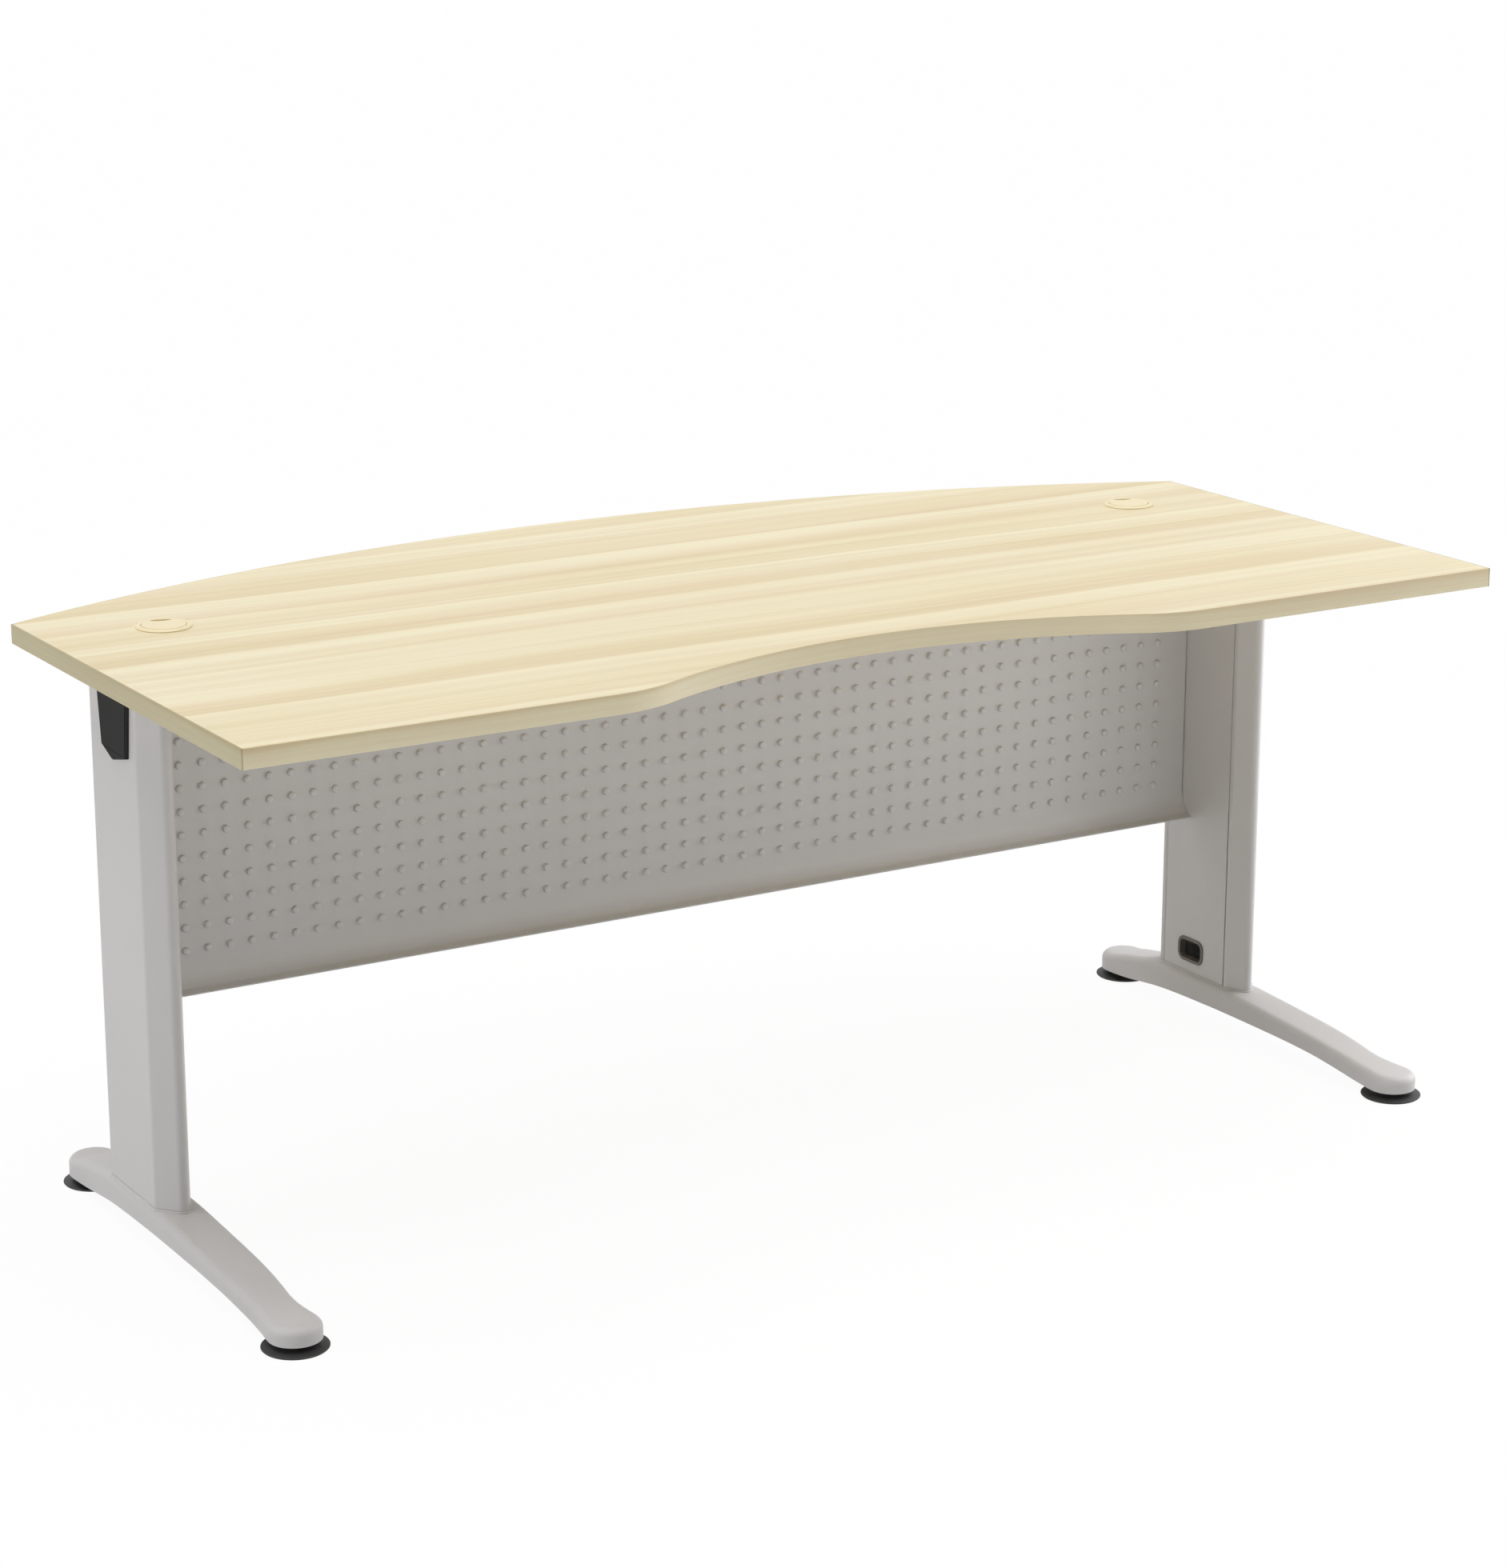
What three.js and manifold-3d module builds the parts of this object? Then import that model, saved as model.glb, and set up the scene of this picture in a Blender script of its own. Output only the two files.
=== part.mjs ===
// Executive desk: a wave-fronted worktop on two cantilever legs and a steel modesty panel.
// Millimetres, +Z up. The origin is on the floor under the middle of the desk's length and depth.
// The user sits on the -Y side, left is -X.

import * as THREE from 'three';
import { mergeGeometries, mergeVertices } from 'three/addons/utils/BufferGeometryUtils.js';
import Module from 'manifold-3d';

const wasm = await Module();
wasm.setup();

// Worktop
const TOP_LENGTH = 1800;
const TOP_END_DEPTH = 700;
const TOP_MIDDLE_DEPTH = 900;
const TOP_HEIGHT = 750;
const BOARD_THICKNESS = 25;
const WAVE_DEPTH = 100;
const WAVE_RADIUS = 770;
const WAVE_CORNER_RADIUS = 180;
const BAND_THICKNESS = 2;

// Cable grommets in the worktop
const GROMMET_END_INSET = 158;
const GROMMET_FRONT_INSET = 590;
const GROMMET_HOLE_RADIUS = 30;
const GROMMET_FLANGE_RADIUS = 35.5;
const GROMMET_FLANGE_HEIGHT = 3;
const GROMMET_WALL = 1.6;
const GROMMET_SKIRT = 20;
const LEDGE_WIDTH = 2.2;
const LEDGE_DEPTH = 2;
const LID_RADIUS = 28;
const LID_RISE = 3.6;
const LID_THICKNESS = 2.2;
const LID_SKIRT = 8;
const LID_SLOT_RADIUS = 22;
const LID_SLOT_DEPTH = 11;
const LID_SLOT_TURN_DEGREES = -14;

// Legs
const LEG_INSET = 71;
const UPRIGHT_FRONT_INSET = 378;
const UPRIGHT_DEPTH = 221;
const UPRIGHT_WIDTH = 47;
const UPRIGHT_INNER_OFFSET = 19;
const UPRIGHT_WALL = 2;
const UPRIGHT_CORNER_RADIUS = 9;
const COVER_SHOULDER = 8;
const COVER_GROOVE = 1;
const COVER_THICKNESS = 1.5;
const LIP_DEPTH = 14;
const TAB_DEPTH = 7;
const TAB_LENGTH = 20;
const TAB_LOW_HEIGHT = 160;
const TAB_MIDDLE_HEIGHT = 270;
const TAB_TOP_DROP = 14;
const BASE_PLATE_THICKNESS = 5;
const TOP_PLATE_THICKNESS = 4;

// Feet
const FOOT_LENGTH = 685;
const FOOT_FRONT_INSET = 34;
const TOE_RADIUS = 33;
const TOE_BOTTOM = 12;
const TOE_TOP = 35.5;
const REAR_TOE_TOP = 38;
const FOOT_TOP = 58.5;
const PAD_TOP = 60;
const PAD_DEPTH = 16;
const PAD_MARGIN = 1.5;
const ARCH_RISE = 15.3;
const FOOT_EDGE_RADIUS = 11;
const FOOT_WALL = 4;
const TOE_BOSS_RADIUS = 11;
const BOLT_BOSS_RADIUS = 13;
const BOLT_BOSS_BOTTOM = 38;

// Levelling glides
const GLIDE_RADIUS = 41;
const GLIDE_RIM = 3;
const GLIDE_EDGE = 1.5;
const GLIDE_TOP = 8;
const GLIDE_HUB_RADIUS = 15;
const GLIDE_SOCKET_RADIUS = 8;
const GLIDE_SOCKET_FLOOR = 4;
const STUD_RADIUS = 4;
const STUD_BALL_CLEARANCE = 0.5;
const STUD_HEX_RADIUS = 7.5;
const STUD_TOP = 30.5;

// Bearers that carry the worktop
const BEARER_LENGTH = 530;
const BEARER_FRONT_INSET = 110;
const BEARER_HEIGHT = 25;
const BEARER_WEB = 40;
const BEARER_LIP = 15;
const BEARER_SHEET = 2.5;
const BEARER_TAPER_LENGTH = 60;
const BEARER_TAPER_HEIGHT = 18;

// Shield-shaped plastic caps on the outer faces of the legs
const CAP_WIDTH = 95;
const CAP_HEIGHT = 99;
const CAP_TOP_DROP = 5;
const CAP_FRONT_INSET = 426;
const CAP_THICKNESS = 5;
const CAP_CHAMFER = 2;
const CAP_PEG_RADIUS = 3;
const CAP_PEG_LENGTH = 8;
const CAP_PEG_SPACING = 50;
const CAP_PEG_DROP = 45;

// Cable outlets at the bottom of the leg covers
const OUTLET_WIDTH = 58;
const OUTLET_HEIGHT = 37;
const OUTLET_RADIUS = 13;
const OUTLET_LIP = 2.5;
const OUTLET_WALL = 2.5;
const OUTLET_PROUD = 1.8;
const OUTLET_DEPTH = 9;
const OUTLET_FRONT_INSET = 499;
const OUTLET_CENTRE_HEIGHT = 93;

// Modesty panel
const PANEL_FRONT_INSET = 530;
const PANEL_SHEET = 2;
const PANEL_TOP_DROP = 25.5;
const PANEL_BOTTOM = 294.5;
const PANEL_FOLD_RADIUS = 3;
const PANEL_FLANGE = 25;
const PANEL_ROLL_RADIUS = 40;
const PANEL_ROLL_DEGREES = 45;
const PANEL_LIP = 9;
const PANEL_LIP_DEGREES = 70;
const BUMP_PITCH = 30.2;
const BUMP_RADIUS = 5;
const BUMP_TOP_RADIUS = 2.4;
const BUMP_HEIGHT = 2.6;
const BUMP_BOTTOM_MARGIN = 51.1;
const BUMP_TOP_MARGIN = 40;
const BUMP_SIDE_MARGIN = 40;
const PANEL_BRACKET_THICKNESS = 3;
const PANEL_BRACKET_MARGIN = 30;

// Fasteners
const PANEL_BOLT_RADIUS = 3;
const PANEL_BOLT_HEAD_RADIUS = 5.5;
const PANEL_BOLT_HEAD = 3.3;
const PANEL_BOLT_LENGTH = 14;
const PANEL_BOLT_SETBACK = 16;
const PANEL_BOLT_MARGIN = 45;
const PANEL_BOLT_COUNT = 3;
const FOOT_BOLT_RADIUS = 5;
const FOOT_BOLT_HEAD_RADIUS = 8.5;
const FOOT_BOLT_HEAD = 5.5;
const FOOT_BOLT_SPACING = 100;
const FOOT_BOLT_TAIL = 3;
const BEARER_BOLT_RADIUS = 4;
const BEARER_BOLT_HEAD_RADIUS = 7;
const BEARER_BOLT_HEAD = 4.5;
const BEARER_BOLT_SPACING = 90;
const BEARER_BOLT_TAIL = 6;
const TOP_SCREW_RADIUS = 2.2;
const TOP_SCREW_HEAD_RADIUS = 4.5;
const TOP_SCREW_HEAD = 2.8;
const TOP_SCREW_LENGTH = 17;
const TOP_SCREW_END_INSET = 75;

// Clearances
const SEAT_GAP = 0.3;
const HOLE_CLEARANCE = 0.3;
const TURN_CLEARANCE = 0.6;
const OVERRUN = 5;

// Facet counts
const ROUND = 28;
const SMALL_ROUND = 12;
const HEX = 6;
const BUMP_SIDES = 4;

// Places worked out from the sizes
const FRONT_Y = -TOP_MIDDLE_DEPTH / 2;
const BOARD_UNDERSIDE = TOP_HEIGHT - BOARD_THICKNESS;
const REAR_SAG = TOP_MIDDLE_DEPTH - TOP_END_DEPTH;
const REAR_RADIUS = ((TOP_LENGTH / 2) ** 2 + REAR_SAG ** 2) / (2 * REAR_SAG);
const LEG_X = TOP_LENGTH / 2 - LEG_INSET;
const UPRIGHT_Y = FRONT_Y + UPRIGHT_FRONT_INSET;
const UPRIGHT_BOTTOM = PAD_TOP + SEAT_GAP;
const BEARER_BOTTOM = BOARD_UNDERSIDE - SEAT_GAP - BEARER_HEIGHT;
const UPRIGHT_TOP = BEARER_BOTTOM - SEAT_GAP;
const UPRIGHT_MIDDLE_Y = UPRIGHT_Y + UPRIGHT_DEPTH / 2;
const INNER_FACE = -UPRIGHT_INNER_OFFSET;
const OUTER_FACE = UPRIGHT_WIDTH - UPRIGHT_INNER_OFFSET;
const FOOT_FRONT_Y = FRONT_Y + FOOT_FRONT_INSET;
const PANEL_Y = FRONT_Y + PANEL_FRONT_INSET;
const PANEL_TOP = BOARD_UNDERSIDE - PANEL_TOP_DROP;
const PANEL_END = LEG_X - UPRIGHT_INNER_OFFSET - SEAT_GAP;
const FIRST_BUMP_Z = PANEL_BOTTOM + BUMP_BOTTOM_MARGIN;
const LAST_BUMP_Z = PANEL_TOP - BUMP_TOP_MARGIN;
const BUMP_ROWS = 1 + Math.floor((LAST_BUMP_Z - FIRST_BUMP_Z) / BUMP_PITCH);
const BUMP_COLUMNS = 1 + Math.floor((PANEL_END - BUMP_SIDE_MARGIN) * 2 / BUMP_PITCH);
const PANEL_BOLT_Y = PANEL_Y + PANEL_BOLT_SETBACK;

// Corners of the upright's section, as shares of its width and depth, from the front tip outwards
const UPRIGHT_CORNER_SHARES = [
  [0.38, 0],
  [1, 0.167],
  [1, 0.805],
  [0.49, 1],
  [0, 0.873],
  [0, 0.163],
];

// The foot's stations between its two toes: along its length, half width in toe radii,
// height between toe top and foot top, and rise of the arch underneath
const FOOT_STATION_SHARES = [
  [0.082, 0.92, 0.02, 0],
  [0.114, 0.86, 0.05, 0.05],
  [0.147, 0.85, 0.13, 0.21],
  [0.184, 0.89, 0.27, 0.45],
  [0.242, 0.94, 0.46, 0.75],
  [0.315, 0.97, 0.62, 0.93],
  [0.388, 0.97, 0.75, 0.98],
  [0.534, 0.97, 0.98, 1],
  [0.593, 0.97, 1, 0.97],
  [0.709, 0.97, 1, 0.84],
  [0.768, 0.97, 0.98, 0.69],
  [0.826, 0.96, 0.8, 0.4],
  [0.87, 0.92, 0.58, 0.12],
  [0.914, 0.95, 0.34, 0],
];
const TOE_TURN_DEGREES = [80, 62, 40, 20, 0];
const SECTION_SHARES = [1, 0.955, 0.82, 0.64, 0.3];

// Corners of the cap's shield outline, as shares of its width and height, from the front top
const CAP_CORNER_SHARES = [
  [0, 1],
  [0.11, 0.1],
  [0.56, 0],
  [0.9, 0.13],
  [1, 1],
];

const degrees = THREE.MathUtils.degToRad;

function material(colour, roughness, metalness) {
  return new THREE.MeshStandardMaterial({ color: colour, roughness, metalness });
}

const laminate = () => material(0xecdeb8, 0.45, 0);
const edging = () => material(0xd8c9a0, 0.5, 0);
const greyCoat = () => material(0xb4b2ae, 0.55, 0.1);
const blackCoat = () => material(0x2c2c2c, 0.6, 0.1);
const blackPlastic = () => material(0x1f1f1f, 0.6, 0);
const darkPlastic = () => material(0x5c5854, 0.6, 0);
const creamPlastic = () => material(0xf0e2bd, 0.4, 0);
const zincSteel = () => material(0xb9bcc0, 0.35, 0.9);

// Joins and cuts of closed meshes
function toSolid(geometry) {
  const bare = geometry.clone();
  bare.deleteAttribute('normal');
  bare.deleteAttribute('uv');
  const merged = mergeVertices(bare);
  return new wasm.Manifold(new wasm.Mesh({
    numProp: 3,
    vertProperties: new Float32Array(merged.attributes.position.array),
    triVerts: new Uint32Array(merged.index.array),
  }));
}

function toGeometry(solid) {
  const mesh = solid.getMesh();
  const geometry = new THREE.BufferGeometry();
  geometry.setAttribute('position', new THREE.BufferAttribute(mesh.vertProperties, 3));
  geometry.setIndex(new THREE.BufferAttribute(mesh.triVerts, 1));
  geometry.computeVertexNormals();
  return geometry;
}

function join(...geometries) {
  let solid = toSolid(geometries[0]);
  for (const geometry of geometries.slice(1)) {
    solid = solid.add(toSolid(geometry));
  }
  return toGeometry(solid);
}

function cut(geometry, ...tools) {
  let solid = toSolid(geometry);
  for (const tool of tools) {
    solid = solid.subtract(toSolid(tool));
  }
  return toGeometry(solid);
}

// Basic shapes
function shapeOf(points) {
  return new THREE.Shape(points.map(([x, y]) => new THREE.Vector2(x, y)));
}

// A flat outline raised from one height to another
function raised(shape, bottom, top) {
  const geometry = new THREE.ExtrudeGeometry(shape, { depth: top - bottom, bevelEnabled: false });
  geometry.translate(0, 0, bottom);
  return geometry;
}

// An outline in Y and Z drawn out along X
function drawnAlongX(shape, start, end) {
  const geometry = new THREE.ExtrudeGeometry(shape, { depth: end - start, bevelEnabled: false });
  const basis = new THREE.Matrix4().makeBasis(
    new THREE.Vector3(0, 1, 0),
    new THREE.Vector3(0, 0, 1),
    new THREE.Vector3(1, 0, 0),
  );
  geometry.applyMatrix4(basis);
  geometry.translate(start, 0, 0);
  return geometry;
}

// An outline in X and Z drawn out along Y
function drawnAlongY(shape, start, end) {
  const geometry = new THREE.ExtrudeGeometry(shape, { depth: end - start, bevelEnabled: false });
  geometry.rotateX(Math.PI / 2);
  geometry.translate(0, end, 0);
  return geometry;
}

function block([x0, x1], [y0, y1], [z0, z1]) {
  const geometry = new THREE.BoxGeometry(x1 - x0, y1 - y0, z1 - z0);
  geometry.translate((x0 + x1) / 2, (y0 + y1) / 2, (z0 + z1) / 2);
  return geometry;
}

function post(radius, bottom, top, x = 0, y = 0, sides = SMALL_ROUND) {
  const geometry = new THREE.CylinderGeometry(radius, radius, top - bottom, sides);
  geometry.rotateX(Math.PI / 2);
  geometry.translate(x, y, (bottom + top) / 2);
  return geometry;
}

function crossPost(radius, start, end, y, z, sides = SMALL_ROUND) {
  const geometry = new THREE.CylinderGeometry(radius, radius, end - start, sides);
  geometry.rotateZ(Math.PI / 2);
  geometry.translate((start + end) / 2, y, z);
  return geometry;
}

// A profile of [radius, height] points turned about Z, closed on itself or on the axis
function turned(profile, sides = ROUND) {
  const points = profile.map(([radius, height]) => new THREE.Vector2(radius, height));
  const geometry = new THREE.LatheGeometry(points, sides);
  geometry.rotateX(Math.PI / 2);
  return geometry;
}

// An outline through corners, each rounded by the same radius
function roundedCorners(corners, radius, steps = 4) {
  const points = [];
  corners.forEach(([x, y], i) => {
    const corner = new THREE.Vector2(x, y);
    const before = new THREE.Vector2(...corners.at(i - 1));
    const after = new THREE.Vector2(...corners[(i + 1) % corners.length]);
    const towardsBefore = before.sub(corner).normalize();
    const towardsAfter = after.sub(corner).normalize();
    const half = Math.acos(towardsBefore.dot(towardsAfter)) / 2;
    const middle = towardsBefore.clone().add(towardsAfter).normalize();
    const centre = corner.clone().addScaledVector(middle, radius / Math.sin(half));
    const start = corner.clone().addScaledVector(towardsBefore, radius / Math.tan(half)).sub(centre);
    const end = corner.clone().addScaledVector(towardsAfter, radius / Math.tan(half)).sub(centre);
    const turn = Math.atan2(start.cross(end), start.dot(end));
    for (let step = 0; step <= steps; step += 1) {
      const arm = start.clone().rotateAround(new THREE.Vector2(), (turn * step) / steps);
      points.push([centre.x + arm.x, centre.y + arm.y]);
    }
  });
  return points;
}

// Corners of an outline moved inwards by a distance, for an outline that runs anticlockwise
function inset(corners, distance) {
  return corners.map(([x, y], i) => {
    const [px, py] = corners.at(i - 1);
    const [nx, ny] = corners[(i + 1) % corners.length];
    const first = new THREE.Vector2(x - px, y - py).normalize();
    const second = new THREE.Vector2(nx - x, ny - y).normalize();
    const normal = new THREE.Vector2(-first.y - second.y, first.x + second.x).normalize();
    const reach = distance / normal.dot(new THREE.Vector2(-first.y, first.x));
    return [x + normal.x * reach, y + normal.y * reach];
  });
}

function roundedRectangle(width, height, radius, steps = 4) {
  const halfWidth = width / 2;
  const halfHeight = height / 2;
  return roundedCorners([
    [-halfWidth, -halfHeight],
    [halfWidth, -halfHeight],
    [halfWidth, halfHeight],
    [-halfWidth, halfHeight],
  ], radius, steps);
}

// The closed outline of a folded sheet that follows an open path, its thickness on the path's left
function sheetOutline(path, thickness) {
  const last = path.length - 1;
  const back = path.map(([x, y], i) => {
    const [px, py] = path[Math.max(i - 1, 0)];
    const [nx, ny] = path[Math.min(i + 1, last)];
    const first = new THREE.Vector2(x - px, y - py);
    const second = new THREE.Vector2(nx - x, ny - y);
    if (i === 0) first.copy(second);
    if (i === last) second.copy(first);
    first.normalize();
    second.normalize();
    const normal = new THREE.Vector2(-first.y - second.y, first.x + second.x).normalize();
    const reach = thickness / normal.dot(new THREE.Vector2(-first.y, first.x));
    return [x + normal.x * reach, y + normal.y * reach];
  });
  return [...path, ...back.reverse()];
}

function arcPoints(centreX, centreY, radius, start, end, steps) {
  const points = [];
  for (let step = 0; step <= steps; step += 1) {
    const angle = start + ((end - start) * step) / steps;
    points.push([centreX + radius * Math.cos(angle), centreY + radius * Math.sin(angle)]);
  }
  return points;
}

// A closed body through rings of equal point count, with flat ends
function loft(rings) {
  const count = rings[0].length;
  const positions = rings.flat(2);
  const index = [];
  for (let ring = 0; ring < rings.length - 1; ring += 1) {
    for (let i = 0; i < count; i += 1) {
      const next = (i + 1) % count;
      const a = ring * count + i;
      const b = ring * count + next;
      index.push(a, a + count, b, b, a + count, b + count);
    }
  }
  const lastRing = (rings.length - 1) * count;
  for (let i = 1; i < count - 1; i += 1) {
    index.push(0, i, i + 1);
    index.push(lastRing, lastRing + i + 1, lastRing + i);
  }
  const geometry = new THREE.BufferGeometry();
  geometry.setAttribute('position', new THREE.Float32BufferAttribute(positions, 3));
  geometry.setIndex(index);
  return geometry;
}

// Worktop outline. The wave sweeps in between two rounded corners, the rear edge is one arc.
function frontEdge(offset) {
  const waveCentre = FRONT_Y + WAVE_DEPTH - WAVE_RADIUS;
  const cornerCentre = FRONT_Y + WAVE_CORNER_RADIUS;
  const reach = WAVE_RADIUS + WAVE_CORNER_RADIUS;
  const rise = cornerCentre - waveCentre;
  const cornerX = Math.sqrt(reach ** 2 - rise ** 2);
  const lean = Math.atan2(rise, cornerX);
  const cornerRadius = WAVE_CORNER_RADIUS - offset;
  const down = -Math.PI / 2;
  return [
    ...arcPoints(-cornerX, cornerCentre, cornerRadius, down, -lean, 8),
    ...arcPoints(0, waveCentre, WAVE_RADIUS + offset, Math.PI - lean, lean, 26),
    ...arcPoints(cornerX, cornerCentre, cornerRadius, Math.PI + lean, Math.PI - down, 8),
  ];
}

function rearEdge(offset, halfLength) {
  const centre = -FRONT_Y - REAR_RADIUS;
  const radius = REAR_RADIUS - offset;
  const lean = Math.asin(halfLength / radius);
  const up = Math.PI / 2;
  return arcPoints(0, centre, radius, up - lean, up + lean, 32);
}

function topBoard() {
  const offset = BAND_THICKNESS + SEAT_GAP;
  const halfLength = TOP_LENGTH / 2 - offset;
  const outline = [
    [-halfLength, FRONT_Y + offset],
    ...frontEdge(offset),
    [halfLength, FRONT_Y + offset],
    ...rearEdge(offset, halfLength),
  ];
  const board = raised(shapeOf(outline), BOARD_UNDERSIDE, TOP_HEIGHT);
  const holes = grommetPlaces().map(({ x, y }) => {
    const [low, high] = [BOARD_UNDERSIDE - OVERRUN, TOP_HEIGHT + OVERRUN];
    return post(GROMMET_HOLE_RADIUS, low, high, x, y, ROUND);
  });
  const pilots = [-1, 1].flatMap((side) => topScrewPlaces().map(([x, y]) => {
    const radius = TOP_SCREW_RADIUS + HOLE_CLEARANCE;
    const tip = BOARD_UNDERSIDE + TOP_SCREW_LENGTH + HOLE_CLEARANCE;
    return post(radius, BOARD_UNDERSIDE - OVERRUN, tip, side * (LEG_X + x), y);
  }));
  return cut(board, mergeGeometries(holes), mergeGeometries(pilots));
}

function frontBand() {
  const halfLength = TOP_LENGTH / 2 - BAND_THICKNESS - SEAT_GAP;
  const outline = [
    [-halfLength, FRONT_Y],
    ...frontEdge(0),
    [halfLength, FRONT_Y],
    [halfLength, FRONT_Y + BAND_THICKNESS],
    ...frontEdge(BAND_THICKNESS).reverse(),
    [-halfLength, FRONT_Y + BAND_THICKNESS],
  ];
  return raised(shapeOf(outline), BOARD_UNDERSIDE, TOP_HEIGHT);
}

function rearBand() {
  const halfLength = TOP_LENGTH / 2 - BAND_THICKNESS - SEAT_GAP;
  const outline = [
    ...rearEdge(0, halfLength),
    ...rearEdge(BAND_THICKNESS, halfLength).reverse(),
  ];
  return raised(shapeOf(outline), BOARD_UNDERSIDE, TOP_HEIGHT);
}

function endBand() {
  const outer = TOP_LENGTH / 2;
  return block(
    [outer - BAND_THICKNESS, outer],
    [FRONT_Y, FRONT_Y + TOP_END_DEPTH],
    [BOARD_UNDERSIDE, TOP_HEIGHT],
  );
}

// Cable grommets
function grommetPlaces() {
  return [-1, 1].map((side) => ({
    side: side < 0 ? 'left' : 'right',
    x: side * (TOP_LENGTH / 2 - GROMMET_END_INSET),
    y: FRONT_Y + GROMMET_FRONT_INSET,
  }));
}

// The sleeve's flange lies on the board and its tube drops through the hole.
function grommetSleeve() {
  const outer = GROMMET_HOLE_RADIUS - HOLE_CLEARANCE;
  const inner = outer - GROMMET_WALL;
  const bevel = GROMMET_FLANGE_HEIGHT - GROMMET_WALL;
  const ledge = GROMMET_FLANGE_HEIGHT - LID_THICKNESS;
  const ledgeRadius = LID_RADIUS - LEDGE_WIDTH;
  const lidRoom = LID_RADIUS + TURN_CLEARANCE;
  return turned([
    [inner, -GROMMET_SKIRT],
    [outer, -GROMMET_SKIRT],
    [outer, SEAT_GAP],
    [GROMMET_FLANGE_RADIUS, SEAT_GAP],
    [GROMMET_FLANGE_RADIUS, bevel],
    [GROMMET_FLANGE_RADIUS - GROMMET_WALL, GROMMET_FLANGE_HEIGHT],
    [lidRoom, GROMMET_FLANGE_HEIGHT],
    [lidRoom, ledge],
    [ledgeRadius, ledge],
    [ledgeRadius, ledge - LEDGE_DEPTH],
    [inner, ledge - LEDGE_DEPTH],
    [inner, -GROMMET_SKIRT],
  ]);
}

// The lid turns on the sleeve's ledge and has a crescent slot in its rim for the cables.
function grommetLid() {
  const underside = GROMMET_FLANGE_HEIGHT - LID_THICKNESS + SEAT_GAP;
  const skirtOuter = LID_RADIUS - LEDGE_WIDTH - TURN_CLEARANCE;
  const skirtInner = skirtOuter - GROMMET_WALL;
  const body = turned([
    [0, LID_RISE - LID_THICKNESS],
    [skirtInner, LID_RISE - LID_THICKNESS],
    [skirtInner, underside - LID_SKIRT],
    [skirtOuter, underside - LID_SKIRT],
    [skirtOuter, underside],
    [LID_RADIUS, underside],
    [LID_RADIUS, LID_RISE - GROMMET_WALL],
    [LID_RADIUS - GROMMET_WALL, LID_RISE],
    [0, LID_RISE],
  ]);
  const reach = LID_RADIUS + LID_SLOT_RADIUS - LID_SLOT_DEPTH;
  const slot = post(LID_SLOT_RADIUS, -LID_SKIRT - OVERRUN, LID_RISE + OVERRUN, 0, reach, ROUND);
  return cut(body, slot);
}

// Upright section in the leg's own X, in the order of the corner shares
function uprightCorners() {
  return UPRIGHT_CORNER_SHARES.map(([across, along]) => [
    INNER_FACE + across * UPRIGHT_WIDTH,
    UPRIGHT_Y + along * UPRIGHT_DEPTH,
  ]);
}

function uprightOutline(depthIn) {
  const radius = Math.max(UPRIGHT_CORNER_RADIUS - depthIn, UPRIGHT_WALL);
  return shapeOf(roundedCorners(inset(uprightCorners(), depthIn), radius));
}

// The cover closes a full-height opening between the two inner corners.
function coverOpening() {
  const front = uprightCorners().at(-1)[1] + COVER_SHOULDER;
  const rear = uprightCorners().at(-2)[1] - COVER_SHOULDER;
  return [front, rear];
}

function capPegPlaces() {
  const middle = FRONT_Y + CAP_FRONT_INSET + CAP_WIDTH / 2;
  const height = BOARD_UNDERSIDE - CAP_TOP_DROP - CAP_PEG_DROP;
  return [-1, 1].map((end) => [middle + (end * CAP_PEG_SPACING) / 2, height]);
}

// Folded steel shell, open on its inner side, with a lip turned in along each edge of the opening
function uprightShell() {
  const shell = raised(uprightOutline(0), UPRIGHT_BOTTOM, UPRIGHT_TOP);
  const hollow = raised(uprightOutline(UPRIGHT_WALL), UPRIGHT_BOTTOM - OVERRUN, UPRIGHT_TOP + OVERRUN);
  const [front, rear] = coverOpening();
  const height = [UPRIGHT_BOTTOM, UPRIGHT_TOP];
  const opening = block(
    [INNER_FACE - OVERRUN, INNER_FACE + UPRIGHT_WALL + OVERRUN],
    [front, rear],
    [UPRIGHT_BOTTOM - OVERRUN, UPRIGHT_TOP + OVERRUN],
  );
  const lipReach = [INNER_FACE, INNER_FACE + LIP_DEPTH];
  const frontLip = block(lipReach, [front - UPRIGHT_WALL, front], height);
  const rearLip = block(lipReach, [rear, rear + UPRIGHT_WALL], height);
  const pegHoles = capPegPlaces().map(([y, z]) => {
    const [start, end] = [OUTER_FACE - UPRIGHT_WALL - OVERRUN, OUTER_FACE + OVERRUN];
    return crossPost(CAP_PEG_RADIUS + HOLE_CLEARANCE, start, end, y, z);
  });
  const folded = join(cut(shell, hollow, opening), frontLip, rearLip);
  return cut(folded, mergeGeometries(pegHoles));
}

// Places along the leg where the foot and the bearer are bolted on
function alongLeg(spacing) {
  return [-1, 1].map((end) => UPRIGHT_MIDDLE_Y + (end * spacing) / 2);
}

// A plate welded inside one end of the upright, with two threaded holes
function uprightPlate(bottom, thickness, boltRadius, spacing) {
  const [front, rear] = coverOpening();
  const plate = raised(uprightOutline(UPRIGHT_WALL + SEAT_GAP), bottom, bottom + thickness);
  const span = [bottom - OVERRUN, bottom + thickness + OVERRUN];
  const clearOfCover = INNER_FACE + LIP_DEPTH + SEAT_GAP;
  const coverRoom = block(
    [INNER_FACE - OVERRUN, clearOfCover],
    [front - UPRIGHT_WALL - SEAT_GAP, rear + UPRIGHT_WALL + SEAT_GAP],
    span,
  );
  const holes = alongLeg(spacing).map((y) => post(boltRadius + HOLE_CLEARANCE, ...span, 0, y));
  return cut(plate, coverRoom, mergeGeometries(holes));
}

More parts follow.
